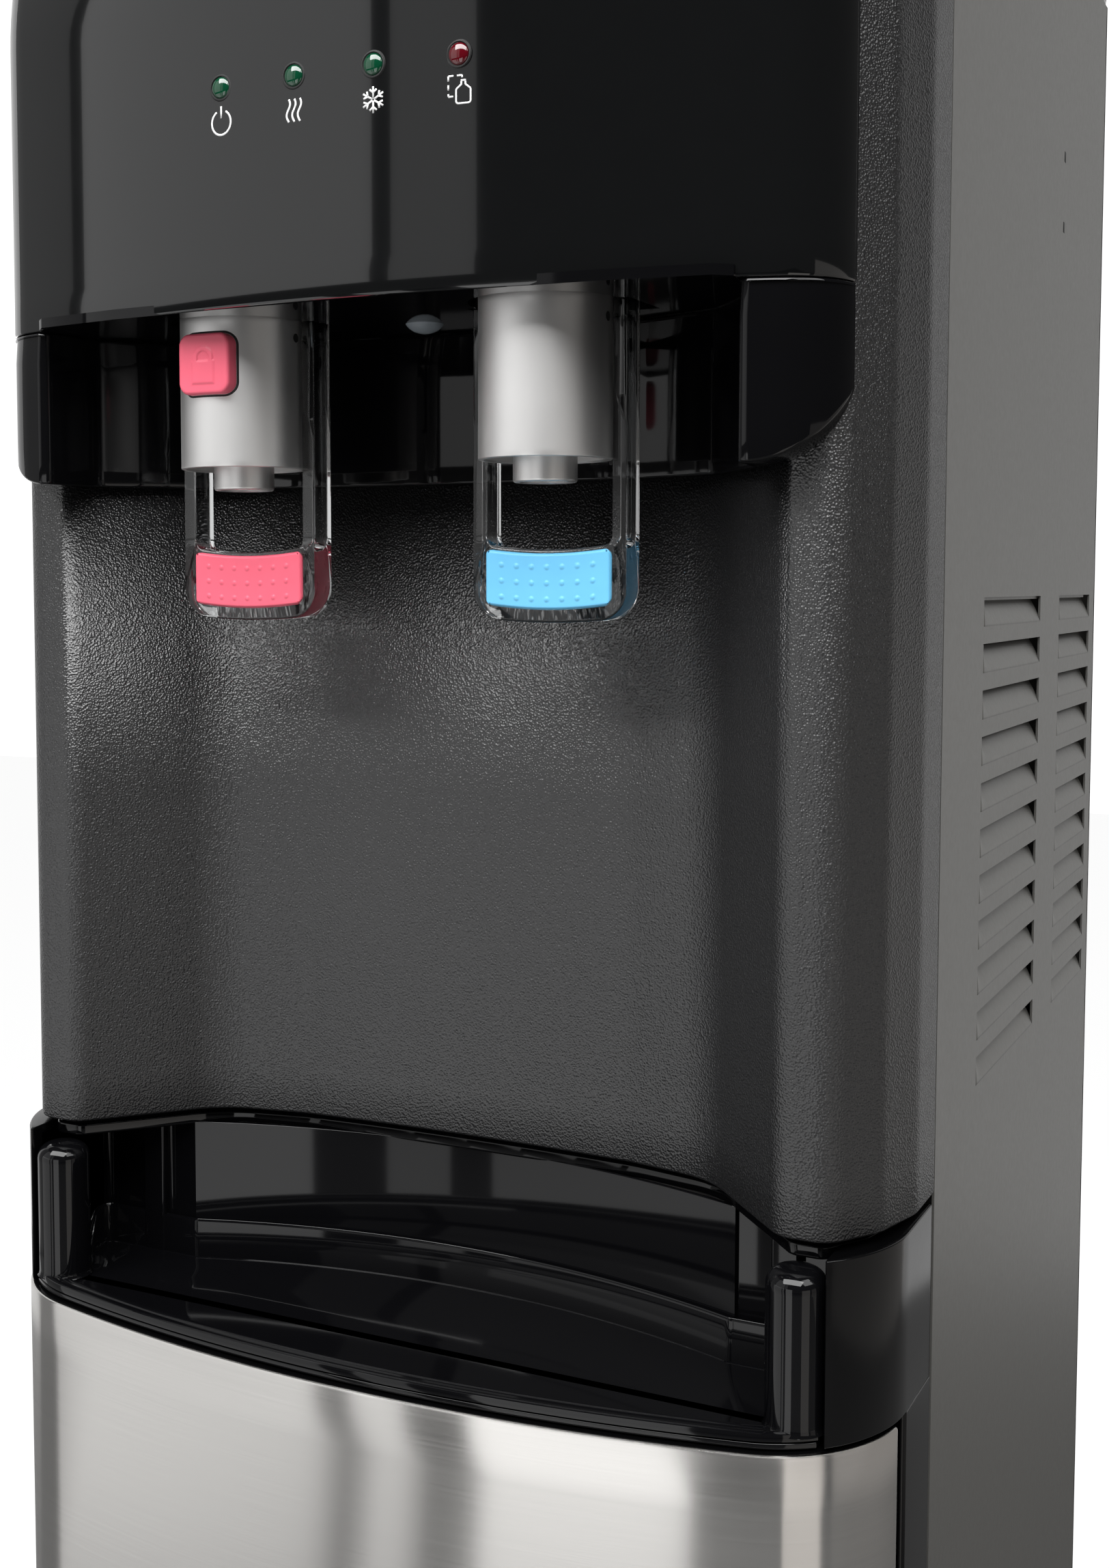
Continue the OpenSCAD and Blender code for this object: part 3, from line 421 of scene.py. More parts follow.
def surroundHalf(sign):
    # a closed section carried along the front: back edge, rounded top, face, rounded underside, back edge
    # entries are (way inwards, share of the height, lift from that end); share -1 is the back edge
    way = behind - outer
    way /= np.linalg.norm(way, axis=1, keepdims=True)
    r = surround["edge"]
    t = np.linspace(0, np.pi / 2, 5)
    profile = [(0, -1, 1.0)]
    profile += [(r - r * math.sin(a), 1, r - r * math.cos(a)) for a in t[::-1]]
    profile += [(0, k, None) for k in (0.8, 0.6, 0.4, 0.2)]
    profile += [(r - r * math.cos(a), 0, r - r * math.sin(a)) for a in t]
    out = []
    low = cornerLow(outer[:, 0])
    high = surround["high"]
    for inward, level, lift in profile:
        xy = behind if level == -1 else outer + way * inward
        if level == -1:
            z = np.full(len(low), high)
        elif lift is None:
            z = low + (high - low) * level
        else:
            z = np.full(len(low), high - lift) if level == 1 else low + lift
        out.append(np.column_stack([xy, z]))
    out.append(np.column_stack([behind, cornerLow(behind[:, 0])]))
    made = np.stack(out, 1)
    made[..., 1] += doorFront
    made[..., 0] *= sign
    return made if sign > 0 else made[::-1]


bothHalves = np.concatenate([surroundHalf(-1)[:-1], surroundHalf(1)])
sections, corners = bothHalves.shape[:2]
faces = gridFaces(sections, corners, False, True)[:, ::-1].tolist()
faces += [list(range(corners))[::-1], [(sections - 1) * corners + k for k in range(corners)]]
addMesh("tap surround", bothHalves.reshape(-1, 3), faces, glossBlack, body="cabinet",
        replaced=["tap_surround"], slot="tap_surround", sharp=50)


def plateWithHoles(name, loops, low, high, material, **rest):
    # the first loop is the outline and the others are holes; two filled faces and a wall along each loop
    flat = [[Vector((p[0], p[1], 0)) for p in loop] for loop in loops]
    triangles = [list(t) for t in tessellate_polygon(flat)]
    points = np.concatenate(loops)
    count = len(points)
    faces = triangles + [[i + count for i in t[::-1]] for t in triangles]
    start = 0
    for loop in loops:
        size = len(loop)
        i = np.arange(size)
        j = (i + 1) % size
        faces += np.stack([start + i, start + j, start + j + count, start + i + count], 1).tolist()
        start += size
    lifted = np.concatenate([np.column_stack([points, np.full(count, z)]) for z in (low, high)])
    made = addMesh(name, lifted, faces, material, **rest)
    work = bmesh.new()
    work.from_mesh(made.data)
    bmesh.ops.recalc_face_normals(work, faces=work.faces)
    work.to_mesh(made.data)
    work.free()
    return made


tap = {"x": 52.4, "back": 29.0, "r": 19.5, "low": 824.0, "high": 890.0, "wall": 1.8, "lipR": 0.4,
       "stemR": 12.9, "stemHigh": 914, "nozzleR": 9.4, "nozzleLow": 817.5, "nozzleHigh": 831,
       "nozzleLip": 0.8, "screwZ": 864, "screwProud": 0.06}
opening = {"tapR": 22.5, "half": 25.7, "front": 29.5, "back": 53.5}     # a tap and its lever pass through it
frontEdge = [[112, 4.5], [80, -0.2], [40, -2.6], [0, -3.2], [-40, -2.6], [-80, -0.2], [-112, 4.5]]
loops = [np.concatenate([bothSides(evenly(pocketRight, 60)), frontEdge]) + seat]
for middle in (-tap["x"], tap["x"]):
    near, far = middle - opening["half"], middle + opening["half"]
    slotCorners = [[far, opening["front"]], [far, opening["back"]], [near, opening["back"]],
                   [near, opening["front"]]]
    tapArc = arcPoints(middle, tap["back"], opening["tapR"], 180, 360, 40)
    loops.append(np.concatenate([tapArc, slotCorners]) + seat)
plateWithHoles("pocket ceiling", loops, surround["ceiling"] - 2, surround["ceiling"] + 1, glossBlack,
               body="cabinet", slot="tap_surround")
print("tap surround")


def roundedLip(r, low, lip, steps):
    # quarter arc from the underside, at height low, to the outside, at radius r
    return [(r - lip + lip * math.sin(a), low + lip - lip * math.cos(a)) for a in np.linspace(0, 1.57, steps)]


# both profiles start inside, come down the bore, turn round the lower lip and go up outside
bore = tap["r"] - tap["wall"]
barrel = ([(bore, 840), (bore, tap["low"] + 0.5), (bore + 0.4, tap["low"])]
          + roundedLip(tap["r"], tap["low"], tap["lipR"], 5)
          + [(tap["r"], z) for z in np.linspace(826, tap["high"], 8)]
          + [(tap["stemR"], tap["high"]), (tap["stemR"], tap["stemHigh"]), (4, tap["stemHigh"])])
nozzle = ([(3, 829), (3, 823.5), (7.2, 823.5), (7.2, tap["nozzleLow"] + 0.4), (7.6, tap["nozzleLow"])]
          + roundedLip(tap["nozzleR"], tap["nozzleLow"], tap["nozzleLip"], 6)
          + [(tap["nozzleR"], tap["nozzleHigh"]), (4.9, tap["nozzleHigh"]), (4.9, 843)])
screwHead = [(0.02, 0.0), (0.9, 0.0), (1.2, -0.15), (1.4, 0.05)]      # (radius, height) from its middle
for label, sign in (("hot", -1), ("cold", 1)):
    x = sign * tap["x"]
    turned(label + " tap barrel", barrel, x, tap["back"], silver, body="cabinet",
           replaced=[label + "_tap_body"], slot=label + "_tap_body", count=96)
    turned(label + " nozzle", nozzle, x, tap["back"], silver, body="cabinet", replaced=[label + "_nozzle"],
           slot=label + "_nozzle")
    a = np.linspace(0, 2 * np.pi, 24, endpoint=False)[:, None]
    r, lift = np.array(screwHead).T
    screw = np.stack([x + tap["r"] + tap["screwProud"] + lift + 0 * a,
                      doorFront + tap["back"] + r * np.cos(a), tap["screwZ"] + r * np.sin(a)], 2)
    shell(label + " set screw", screw, inner, closeAcross=True, body="cabinet", slot="paddle_pins")


def roundedSquare(width, height, r, count=120, sag=0.0):
    # anticlockwise from the right; both long edges hang down in the middle by sag
    w, h = width / 2, height / 2
    centres = ((w - r, h - r, 0), (r - w, h - r, 90), (r - w, r - h, 180), (w - r, r - h, 270))
    loop = np.concatenate([arcPoints(cx, cy, r, turn, turn + 90, 12) for cx, cy, turn in centres])
    loop = evenly(np.concatenate([loop, loop[:1]]), count + 1)[:-1]
    loop[:, 1] -= sag * (1 - np.square(loop[:, 0] / w))
    return loop


def cushion(name, loop, x, z, backLow, backHigh, r, material, relief=None, **rest):
    # a rounded plate that faces -Y: side wall, rounded rim, then rings that shrink to the middle
    t = np.linspace(0, np.pi / 2, 5)
    n = outwards(loop, True)
    layers = [(loop, backHigh)]
    layers += [(loop - n * (r - r * math.cos(a)), backLow + r - r * math.sin(a)) for a in t]
    core = loop - n * r
    middle = core.mean(0)
    layers += [(middle + (core - middle) * k, backLow) for k in np.linspace(1, 0.02, 28)[1:]]
    surface = np.stack([np.column_stack([x + p[:, 0], np.full(len(p), doorFront + b), z + p[:, 1]])
                        for p, b in layers], 1)
    if relief:
        onFace = surface[..., 1] < doorFront + backLow + 0.01
        surface[..., 1] -= relief(surface[..., 0] - x, surface[..., 2] - z) * onFace
    return shell(name, surface, material, closeAcross=True, **rest)


lock = {"z": 855, "size": 18.4, "cornerR": 3.6, "front": 7.5, "foot": 13.9, "rimR": 1.0, "signHigh": 0.35,
        "signHalf": 3.6, "signDeep": 3.1, "signLow": -2.6, "shackleR": 2.9, "shackleZ": 1.6, "legsTop": 1.4,
        "legsLow": 0.4, "lineHalf": 0.9, "ramp": 0.3, "bodyRamp": 0.2}


def padlock(x, z):
    # height of the raised padlock: a block, and above it half a ring on two short legs, with sloping sides
    across = np.maximum(np.abs(x) / lock["signHalf"], np.abs(z - lock["signLow"]) / lock["signDeep"])
    body = np.clip(1.2 - across, 0, lock["bodyRamp"]) / lock["bodyRamp"]
    ring = np.abs(np.hypot(x, z - lock["shackleZ"]) - lock["shackleR"])
    legs = np.abs(np.abs(x) - lock["shackleR"])
    ring, legs = (np.clip(lock["lineHalf"] - d, 0, lock["ramp"]) / lock["ramp"] for d in (ring, legs))
    ring = ring * (z > lock["legsTop"])
    legs = legs * (z <= lock["legsTop"]) * (z > lock["legsLow"])
    return lock["signHigh"] * np.maximum.reduce([body, ring, legs])


cushion("child lock button", roundedSquare(lock["size"], lock["size"], lock["cornerR"], 160), -tap["x"],
        lock["z"], lock["front"], lock["foot"], lock["rimR"], pinkRubber, relief=padlock,
        body="child_lock", replaced=["child_lock_button"], slot="child_lock_button")
# a thin frame that follows the barrel round the button: (size, corner, height above the barrel)
frameRings = []
for size, corner, lift in ((18.6, 3.7, -2), (18.6, 3.7, 0.12), (19.6, 4.2, 0.12), (20, 4.4, -0.1)):
    ring = roundedSquare(size, size, corner, 120)
    barrelFront = tap["back"] - np.sqrt(np.maximum(tap["r"] ** 2 - ring[:, 0] ** 2, 0))
    frameRings.append(np.column_stack([ring[:, 0] - tap["x"], doorFront + barrelFront - lift,
                                       lock["z"] + ring[:, 1]]))
shell("child lock frame", np.stack(frameRings, 1), inner, closeAcross=True, body="cabinet",
      slot="tap_surround")
print("taps")

lever = {"low": 777.5, "half": 24.7, "arm": 4.5, "front": 31.0, "back": 41.0, "high": 909.0, "window": 799.8,
         "sag": 1.6, "sagBelow": 12, "edge": 0.8, "cornerR": 8.0, "innerR": 2.5}


def leverOutlines():
    # outer and inner U of the lever, 240 points each; the lower bar hangs by sag * (1 - (x / half)^2)
    h, w = lever["half"], lever["half"] - lever["arm"]
    outerLine = filleted([(-h, lever["high"], 0), (-h, lever["low"] + 1, lever["cornerR"]),
                          (h, lever["low"] + 1, lever["cornerR"]), (h, lever["high"], 0)], 16)
    innerLine = filleted([(-w, lever["high"], 0), (-w, lever["window"], lever["innerR"]),
                          (w, lever["window"], lever["innerR"]), (w, lever["high"], 0)], 16)
    out = []
    for line, half in ((outerLine, h), (innerLine, w)):
        line = evenly(line, 240)
        bottom = line[:, 1] < line[:, 1].min() + lever["sagBelow"]
        drop = lever["sag"] * (1 - np.square(line[:, 0] / half)) * bottom
        line[:, 1] -= np.clip(drop, 0, None)
        out.append(line)
    return out


outerLine, innerLine = leverOutlines()


def leverSurface(x):
    # the bar's section of twelve points, rounded at its corners, carried along both outlines
    e, f, b = lever["edge"], lever["front"], lever["back"]
    between = outerLine - innerLine
    between /= np.linalg.norm(between, axis=1, keepdims=True)
    section = [(outerLine, 0, f + e), (outerLine, -e * 0.3, f + e * 0.3), (outerLine, -e, f),
               (innerLine, e, f), (innerLine, e * 0.3, f + e * 0.3), (innerLine, 0, f + e),
               (innerLine, 0, b - e), (innerLine, e * 0.3, b - e * 0.3), (innerLine, e, b),
               (outerLine, -e, b), (outerLine, -e * 0.3, b - e * 0.3), (outerLine, 0, b - e)]
    rows = []
    for line, shift, back in section:
        moved = line + between * shift
        rows.append(np.column_stack([x + moved[:, 0], np.full(len(line), doorFront + back), moved[:, 1]]))
    return np.stack(rows, 1)


def leverPiece(label, x):
    # one closed tube, with a face over each upper end
    surface = leverSurface(x)
    across, along = surface.shape[:2]
    faces = gridFaces(across, along, False, True).tolist()
    faces += [list(range(along)), [(across - 1) * along + k for k in range(along)][::-1]]
    return addMesh(label + " lever", surface.reshape(-1, 3), faces, acrylic, body=label + "_lever",
                   replaced=[label + "_paddle"], slot=label + "_paddle", sharp=50)


pad = {"z": 790.4, "half": 20.25, "deep": 8.3, "cornerR": 2.6, "flatHalf": 17.65, "flatDeep": 5.7,
       "front": 30.0, "roll": 1.6, "sag": 1.5, "thick": 1.5, "bumpHigh": 0.3, "bumpR2": 0.81,
       "columnGap": 4.9, "rowGap": 4.7, "rowShift": 0.5}


def bumps(x, z):
    # three rows of seven round bumps: height * (1 - d^2 / r^2), d from the nearest bump's middle
    row = np.clip(np.round((z + pad["rowShift"]) / pad["rowGap"]), -1, 1) * pad["rowGap"] - pad["rowShift"]
    column = np.clip(np.round(x / pad["columnGap"]), -3, 3) * pad["columnGap"]
    d2 = np.square(x - column) + np.square(z - row)
    return pad["bumpHigh"] * np.clip(1 - d2 / pad["bumpR2"], 0, None)


def padSurface(x, z):
    # u across and v up; corners are drawn in, the rim rolls back and the middle hangs by the pad's sag
    u, v = np.meshgrid(np.linspace(-1, 1, 161), np.linspace(-1, 1, 81), indexing="ij")
    px = pad["half"] * u
    pz = pad["deep"] * v
    sideways = np.maximum(np.abs(px) - pad["flatHalf"], 0)
    upwards = np.maximum(np.abs(pz) - pad["flatDeep"], 0)
    corner = np.maximum(np.hypot(sideways, upwards) - pad["cornerR"], 0)
    shrink = 1 - corner / np.maximum(np.hypot(px, pz), 1e-6) * 1.35
    px, pz = px * shrink, pz * shrink
    rim = np.clip(np.maximum(np.abs(u) - 0.95, 0) / 0.05 + np.maximum(np.abs(v) - 0.88, 0) / 0.12, 0, 1)
    back = pad["front"] + pad["roll"] * (1 - np.sqrt(1 - 0.98 * rim ** 2)) - bumps(px, pz)
    drop = pad["sag"] * (1 - np.square(px / pad["half"]))
    return np.stack([x + px, doorFront + back, z + pz - drop], 2)


for label, sign, tint in (("hot", -1, pinkRubber), ("cold", 1, blueRubber)):
    leverPiece(label, sign * tap["x"])
    shell(label + " pad", padSurface(sign * tap["x"], pad["z"]), tint, pad["thick"], body=label + "_lever",
          replaced=[label + "_pad"], slot=label + "_pad")
print("levers")

signs = {"ledZ": 932.3, "z": 922.6, "places": (-39, -13, 13, 39), "rowShift": 2.6, "lensR": 3.1,
         "lensHigh": 1.3, "proud": 0.07, "thick": 0.05}
dome = [(signs["lensR"] * math.sin(a), 0.15 - signs["lensHigh"] * math.cos(a))
        for a in np.linspace(0.1, 1.57, 9)]
dome = [(0.01, -1.15)] + dome + [(signs["lensR"], 3)]
socketRing = [(3.95, 0.1), (3.7, -0.3), (3.35, -0.35), (3.15, -0.1), (signs["lensR"], 1.2)]
lamps = (("power_led", greenLens), ("heating_led", greenLens), ("cooling_led", greenLens),
         ("empty_bottle_led", redLens))
for k, ((node, tint), x) in enumerate(zip(lamps, signs["places"])):
    x += signs["rowShift"]
    face = float(headBack(x))
    turned(node.replace("_", " "), dome, x, face, tint, along="y", z=signs["ledZ"],
           body="cabinet", replaced=[node], slot=node, count=40)
    turned("socket " + str(k + 1), socketRing, x, face, inner, along="y", z=signs["ledZ"], body="cabinet",
           slot="head_cover", count=40)


def ribbon(line, width):
    # a flat stroke with the line down its middle
    line = np.asarray(line, float)
    n = outwards(line)
    return np.stack([line + n * width / 2, line - n * width / 2], 1)


def strokes(name, lines, x, z, width):
    # all strokes of one sign laid on the curved face, standing proud by a hair
    points, faces, start = [], [], 0
    for line in lines:
        edges = ribbon(line, width)
        count = len(edges)
        flat = edges.reshape(-1, 2) + [x + signs["rowShift"], z]
        depth = doorFront + headBack(flat[:, 0]) - signs["proud"]
        points.append(np.stack([flat[:, 0], depth, flat[:, 1]], 1))
        faces += gridFaces(count, 2, start=start).tolist()
        start += 2 * count
    made = addMesh(name, np.concatenate(points), faces, inkWhite, body="cabinet", slot="night_light_lens")
    if made.data.polygons[0].normal.y > 0:
        made.data.flip_normals()
    thicken(made, signs["thick"])


wave = np.linspace(0, 1, 30)
heat = [np.stack([dx + 0.6 * np.sin(wave * 2 * np.pi + 0.3), 3.2 - 6.4 * wave], 1) for dx in (-1.9, 0, 1.9)]
power = [arcPoints(0, -0.3, 3.5, 118, 422, 50), [(0, 4.4), (0, 1.0)]]
flake = []
for k in range(6):
    a = math.radians(90 + 60 * k)
    tip = np.array([math.cos(a), math.sin(a)])
    flake.append(np.stack([tip * 0.3, tip * 4.3]))
    for spin in (-1, 1):
        b = a + spin * math.radians(50)
        twig = np.array([math.cos(b), math.sin(b)])
        flake.append(np.stack([tip * 2.3, tip * 2.3 + twig * 1.7]))
bottle = filleted([(0.9, 2.7, 0), (0.9, 1.7, 0.4), (-0.9, 0.3, 0.9), (-0.9, -4.2, 0.8), (4.1, -4.2, 0.8),
                   (4.1, 0.3, 0.9), (2.3, 1.7, 0.4), (2.3, 2.7, 0)], 8)
neck = [(0.7, 3.0), (2.5, 3.0)]
dashes = [[(-3.6, 4.6), (-3.6, 3.0)], [(-3.6, 4.6), (-1.8, 4.6)], [(-0.6, 4.6), (1.2, 4.6)],
          [(1.2, 4.6), (1.2, 3.9)], [(-3.6, 1.8), (-3.6, 0.2)], [(-3.6, -1.0), (-3.6, -1.9)],
          [(-3.6, -1.9), (-1.9, -1.9)]]
drawings = (("power sign", power, 0.62, 1), ("heat sign", heat, 0.62, 1), ("snow sign", flake, 0.55, 0.85),
            ("bottle sign", [bottle, neck] + dashes, 0.5, 0.85))
for (title, lines, width, size), x in zip(drawings, signs["places"]):
    strokes(title, [np.asarray(line, float) * size for line in lines], x, signs["z"], width)
print("icons")

bowR, bowEdgeR, backLine = 530, 45, 86.0      # the frame, the tray and the door share one bow
lower = {"low": 549.0, "high": 602.2, "inset": 0.6, "side": 154.7, "inner": 139.5, "edge": 0.5,
         "jambLow": 38, "jambEdge": 0.3}
framePath = bowed(lower["inset"], bowR, bowEdgeR, lower["side"], backLine)
jamb = filleted([(141, 58.2, 0), (141.6, 57.5, 0.4), (153.6, 57.5, 1.2), (154.7, 58.6, 0.4),
                 (154.7, backLine, 0), (141, backLine, 0)])
for sign, title in ((1, "right post"), (-1, "left post")):
    rightSide = framePath[framePath[:, 0] > lower["inner"] + 0.4]
    front = rightSide[0, 1]
    corner = [[lower["inner"], backLine], [lower["inner"], front + 1.2], [lower["inner"] + 0.35, front + 0.3]]
    plan = np.concatenate([rightSide, corner])
    plan = evenly(np.concatenate([plan, plan[:1]]), 220)[:-1]
    block(title, mirrored(plan, sign) + seat, edge(lower["edge"], lower["low"], lower["high"]), satinBlack,
          body="cabinet", replaced=["lower_frame"] if sign > 0 else (), slot="lower_frame")
    block(title.replace("post", "door jamb"), mirrored(jamb, sign) + seat,
          edge(lower["jambEdge"], lower["jambLow"], lower["low"]), satinBlack, body="cabinet",
          slot="lower_frame")

niche = {"wallR": 294, "wallBack": 82, "wallHalf": 100, "wallThick": 1.6,
         "wallLevels": (550.2, 560, 580, 599.5), "lipInset": 5, "lipHalf": 150, "lipLow": 598.6,
         "lipHigh": 602.8, "lipTop": 604.5, "lipEdge": 1.0,
         "floorHalf": 139, "floorBack": 67, "floorGap": 2.2, "floorLow": 548.6, "floorHigh": 550.4,
         "floorEdge": 0.4}
lipRight = evenly(panelRight, 240)
lipRight = lipRight - outwards(lipRight) * niche["lipInset"]
lipRight[0, 0] = 0
lipPlan = np.concatenate([bothSides(lipRight[lipRight[:, 1] < backLine]),
                          [[niche["lipHalf"], backLine], [-niche["lipHalf"], backLine]]]) + seat
lipRings = edge(niche["lipEdge"], niche["lipLow"], niche["lipHigh"]) + [(niche["lipTop"], 2)]
block("niche top", lipPlan, lipRings, glossBlack, body="cabinet", slot="niche_liner")


def rearArc(back, half, count):
    # right half of the arc that closes the niche: back on the middle line, round to half
    r = niche["wallR"]
    return arcPoints(0, back - r, r, 90, math.degrees(math.acos(half / r)), count)


# the arc, then a square rib, and forward along the side
arcWall = rearArc(niche["wallBack"], niche["wallHalf"], 60)
linerRight = np.concatenate([arcWall[:-1], filleted([
    (*arcWall[-1], 0), (100.6, 66, 0.4), (112, 66, 1.0), (112, 62, 1.0), (121, 62, 1.2), (121, 66, 1.0),
    (139.5, 66, 3), (139.5, 30, 0)])])
shell("niche wall", wall(bothSides(linerRight) + seat, [(z, 0) for z in niche["wallLevels"]]), glossBlack,
      niche["wallThick"], body="cabinet", replaced=["niche_liner"], slot="niche_liner")
floorHalf, floorBack = niche["floorHalf"], niche["floorBack"]
floorPlan = np.concatenate([framePath[np.abs(framePath[:, 0]) < floorHalf] + [0, niche["floorGap"]],
                            [[floorHalf, floorBack], [-floorHalf, floorBack]]])
block("niche floor", floorPlan + seat, edge(niche["floorEdge"], niche["floorLow"], niche["floorHigh"]),
      glossBlack, body="cabinet", slot="niche_liner")

tray = {"half": 138.8, "front": 2.4, "side": 154, "rearMiddle": 81.2, "arcHalf": 99, "base": 551.0,
        "rim": 553.4, "rearRim": 565, "rearFrom": 44, "rearOver": 14, "thinner": 0.72,
        "postX": 130.2, "postBack": 30, "postR": 8.8, "postTipR": 5, "postHigh": 592.6}
frontLine = bowed(tray["front"], bowR, bowEdgeR, tray["side"], backLine)
frontLine = frontLine[np.abs(frontLine[:, 0]) < tray["half"]]
backRight = filleted([(0, tray["rearMiddle"], 0), (30, 79.7, 0), (60, 75.1, 0), (99, 64.2, 2),
                      (tray["half"], 64.2, 4), (tray["half"], frontLine[-1, 1] + 4, 3), (*frontLine[-1], 0)])
rear = np.concatenate([rearArc(tray["rearMiddle"], tray["arcHalf"], 50), backRight[4:]])
loop = np.concatenate([frontLine, bothSides(rear)[::-1][1:-1]])
loop = evenly(np.concatenate([loop, loop[:1]]), 721)[:-1]
isRear = np.clip((loop[:, 1] - tray["rearFrom"]) / tray["rearOver"], 0, 1)
isRear = isRear * isRear * (3 - 2 * isRear)      # smooth step from the front rim to the rear wall
rimHigh = tray["rim"] + (tray["rearRim"] - tray["rim"]) * isRear
spread = 1 - tray["thinner"] * isRear
n = outwards(loop, True)
# (share of the rim's height, drop below it, inset): bead, groove, bead, then down to the floor
profile = [(0, 0, 0), (1, 1.2, 0), (1, 0.35, 0.3), (1, 0, 1.0), (1, 0, 2.0), (1, 0.4, 2.6), (1, 1.3, 3.0),
           (1, 1.3, 3.8), (1, 0.5, 4.2), (1, 0.2, 4.8), (1, 0.2, 5.8), (1, 0.6, 6.3), (1, 1.1, 6.6)]
layers = []
for share, drop, inset in profile:
    z = (tray["base"] * (1 - share) + rimHigh * share) - drop * np.where(isRear > 0.5, 0.6, 1)
    layers.append(np.column_stack([loop - n * (inset * spread)[:, None], z]))
for inset, z in ((7.0, 551.9), (8.5, 551.6)):
    layers.append(np.column_stack([loop - n * (inset * spread)[:, None], np.full(len(loop), z)]))
traySurface = np.stack(layers, 1)
traySurface[..., 1] += doorFront
shell("drip tray", traySurface, glossBlack, closeAcross=True, body="tray", replaced=["drip_tray"],
      slot="drip_tray")
# a foot that widens, a straight stem and a rounded top
post = [(9.4, 552), (8.9, 552.8), (tray["postR"], 554)]
post += [(tray["postR"], z) for z in np.linspace(560, 592, 6)]
post += [(3.8 + tray["postTipR"] * math.cos(a), tray["postHigh"] + tray["postTipR"] * math.sin(a))
         for a in np.linspace(0.1, 1.57, 9)]
post.append((0.01, 597.7))
for sign in (-1, 1):
    turned("grip post", post, sign * tray["postX"], tray["postBack"], glossBlack, body="tray",
           slot="drip_tray")
print("niche and tray")

door = {"low": 42.0, "high": 548.0, "thick": 1.2, "half": 155, "back": 50, "edgeR": 45.3}
doorPath = bowed(0, bowR, door["edgeR"], door["half"], door["back"])
turnIn = [(0, 0.9), (0.25, 0.3), (0.9, 0)]      # (distance from the end, inset)
doorRings = ([(door["low"] + up, inset) for up, inset in turnIn] + [(z, 0) for z in np.linspace(60, 530, 12)]
             + [(door["high"] - down, inset) for down, inset in turnIn[::-1]])
shell("door skin", wall(evenly(doorPath, 301) + seat, doorRings), stainless, door["thick"], body="door",
      replaced=["door_skin"], slot="door_skin")
print("door")

louvre = {"rows": 11, "first": 784.0, "pitch": 15.0, "height": 9.4, "depth": 4.2, "curve": 1.3, "slit": 0.25,
          "rampOver": 9, "columns": ((142.0, 238.5), (277.0, 347.5))}
sheet = {"out": 155.0, "low": 18.0, "high": 1028.0, "front": 87.1, "back": 361.0, "thick": 0.8,
         "slitZ": (948.5, 922.5), "slitBack": 270, "slitWide": 3.0, "slitHigh": 4, "slitProud": 0.04}
hem = filleted([(155, 359, 0), (155, 362, 1.6), (143, 362, 0), (143, 361, 0), (153.5, 361, 0.8),
                (154, 359, 0)])


def sidePanel(sign, body="cabinet"):
    # depth = D * t^1.3 * ramp(s): t is 0 at the lower edge and 1 at the slit, s runs to the open rear end
    columns = louvre["columns"]
    zLevels, yLevels = [sheet["low"], 120.0, 300.0, 480.0], [sheet["front"], 110.0]
    for row in range(louvre["rows"])[::-1]:
        top = louvre["first"] - row * louvre["pitch"]
        zLevels += [top - louvre["height"], top]
    zLevels += [850.0, 940.0, sheet["high"]]
    for start, end in columns:
        yLevels += [start, end]
    yLevels += [sheet["back"]]
    surface = np.stack(np.broadcast_arrays(sign * sheet["out"], doorFront + np.array(yLevels)[:, None],
                                           np.array(zLevels)[None, :]), 2).astype(float)
    across, along = surface.shape[:2]
    faces = gridFaces(across, along)
    points = surface.reshape(-1, 3)
    middle = points[faces].mean(1)
    back = middle[:, 1] - doorFront
    inColumn = sum(((back > a) & (back < b)) for a, b in columns) > 0
    under = louvre["first"] - middle[:, 2]
    inRow = (under > 0) & (under < louvre["rows"] * louvre["pitch"])
    inRow &= np.mod(under, louvre["pitch"]) < louvre["height"]
    faces = faces[~(inColumn & inRow)]
    allPoints, allFaces, start = [points], [faces], len(points)
    sheetCount = len(faces)
    s, t = np.meshgrid(np.linspace(0, 1, 40), np.linspace(0, 1, 14), indexing="ij")
    for a, b in columns:
        for row in range(louvre["rows"]):
            top = louvre["first"] - row * louvre["pitch"]
            ramp = np.clip(s * (b - a) / louvre["rampOver"], 0, 1)
            ramp = ramp * ramp * (3 - 2 * ramp)
            depth = louvre["depth"] * t ** louvre["curve"] * ramp
            flap = np.stack([sign * (sheet["out"] - depth), doorFront + a + (b - a) * s,
                             top - louvre["height"] * (1 - t) - louvre["slit"] * t], 2)
            allPoints.append(flap.reshape(-1, 3))
            allFaces.append(gridFaces(*flap.shape[:2], start=start))
            start += flap.shape[0] * flap.shape[1]
    faces = np.concatenate(allFaces)
    if sign < 0:
        faces = faces[:, ::-1]
    name = "right_side_panel" if sign > 0 else "left_side_panel"
    made = addMesh(name, np.concatenate(allPoints), faces, panelGrey, body=body, replaced=[name], slot=name)
    smooth = np.ones(len(faces), bool)
    smooth[:sheetCount] = False       # the sheet itself is flat, the flaps are not
    made.data.polygons.foreach_set("use_smooth", smooth)
    thicken(made, sheet["thick"])
    block(name + " hem", mirrored(hem, sign) + seat, [(sheet["low"], 0), (sheet["high"], 0)], panelGrey,
          body=body, slot=name)
    # the two slits are not cut through the sheet: each is a flat dark plate laid just proud of it, painted
    # shade where the inside of a slit would lie in shadow
    for z in sheet["slitZ"]:
        spot = roundedSquare(sheet["slitWide"], sheet["slitHigh"], 0.3, 24)
        plate = np.column_stack([np.full(24, sign * (sheet["out"] + sheet["slitProud"])),
                                 doorFront + sheet["slitBack"] + spot[:, 0], z + spot[:, 1]])
        order = list(range(24))[::sign]
        thicken(addMesh("side slit painted shade", plate, [order], inner, body=body, slot=name), 0.3)


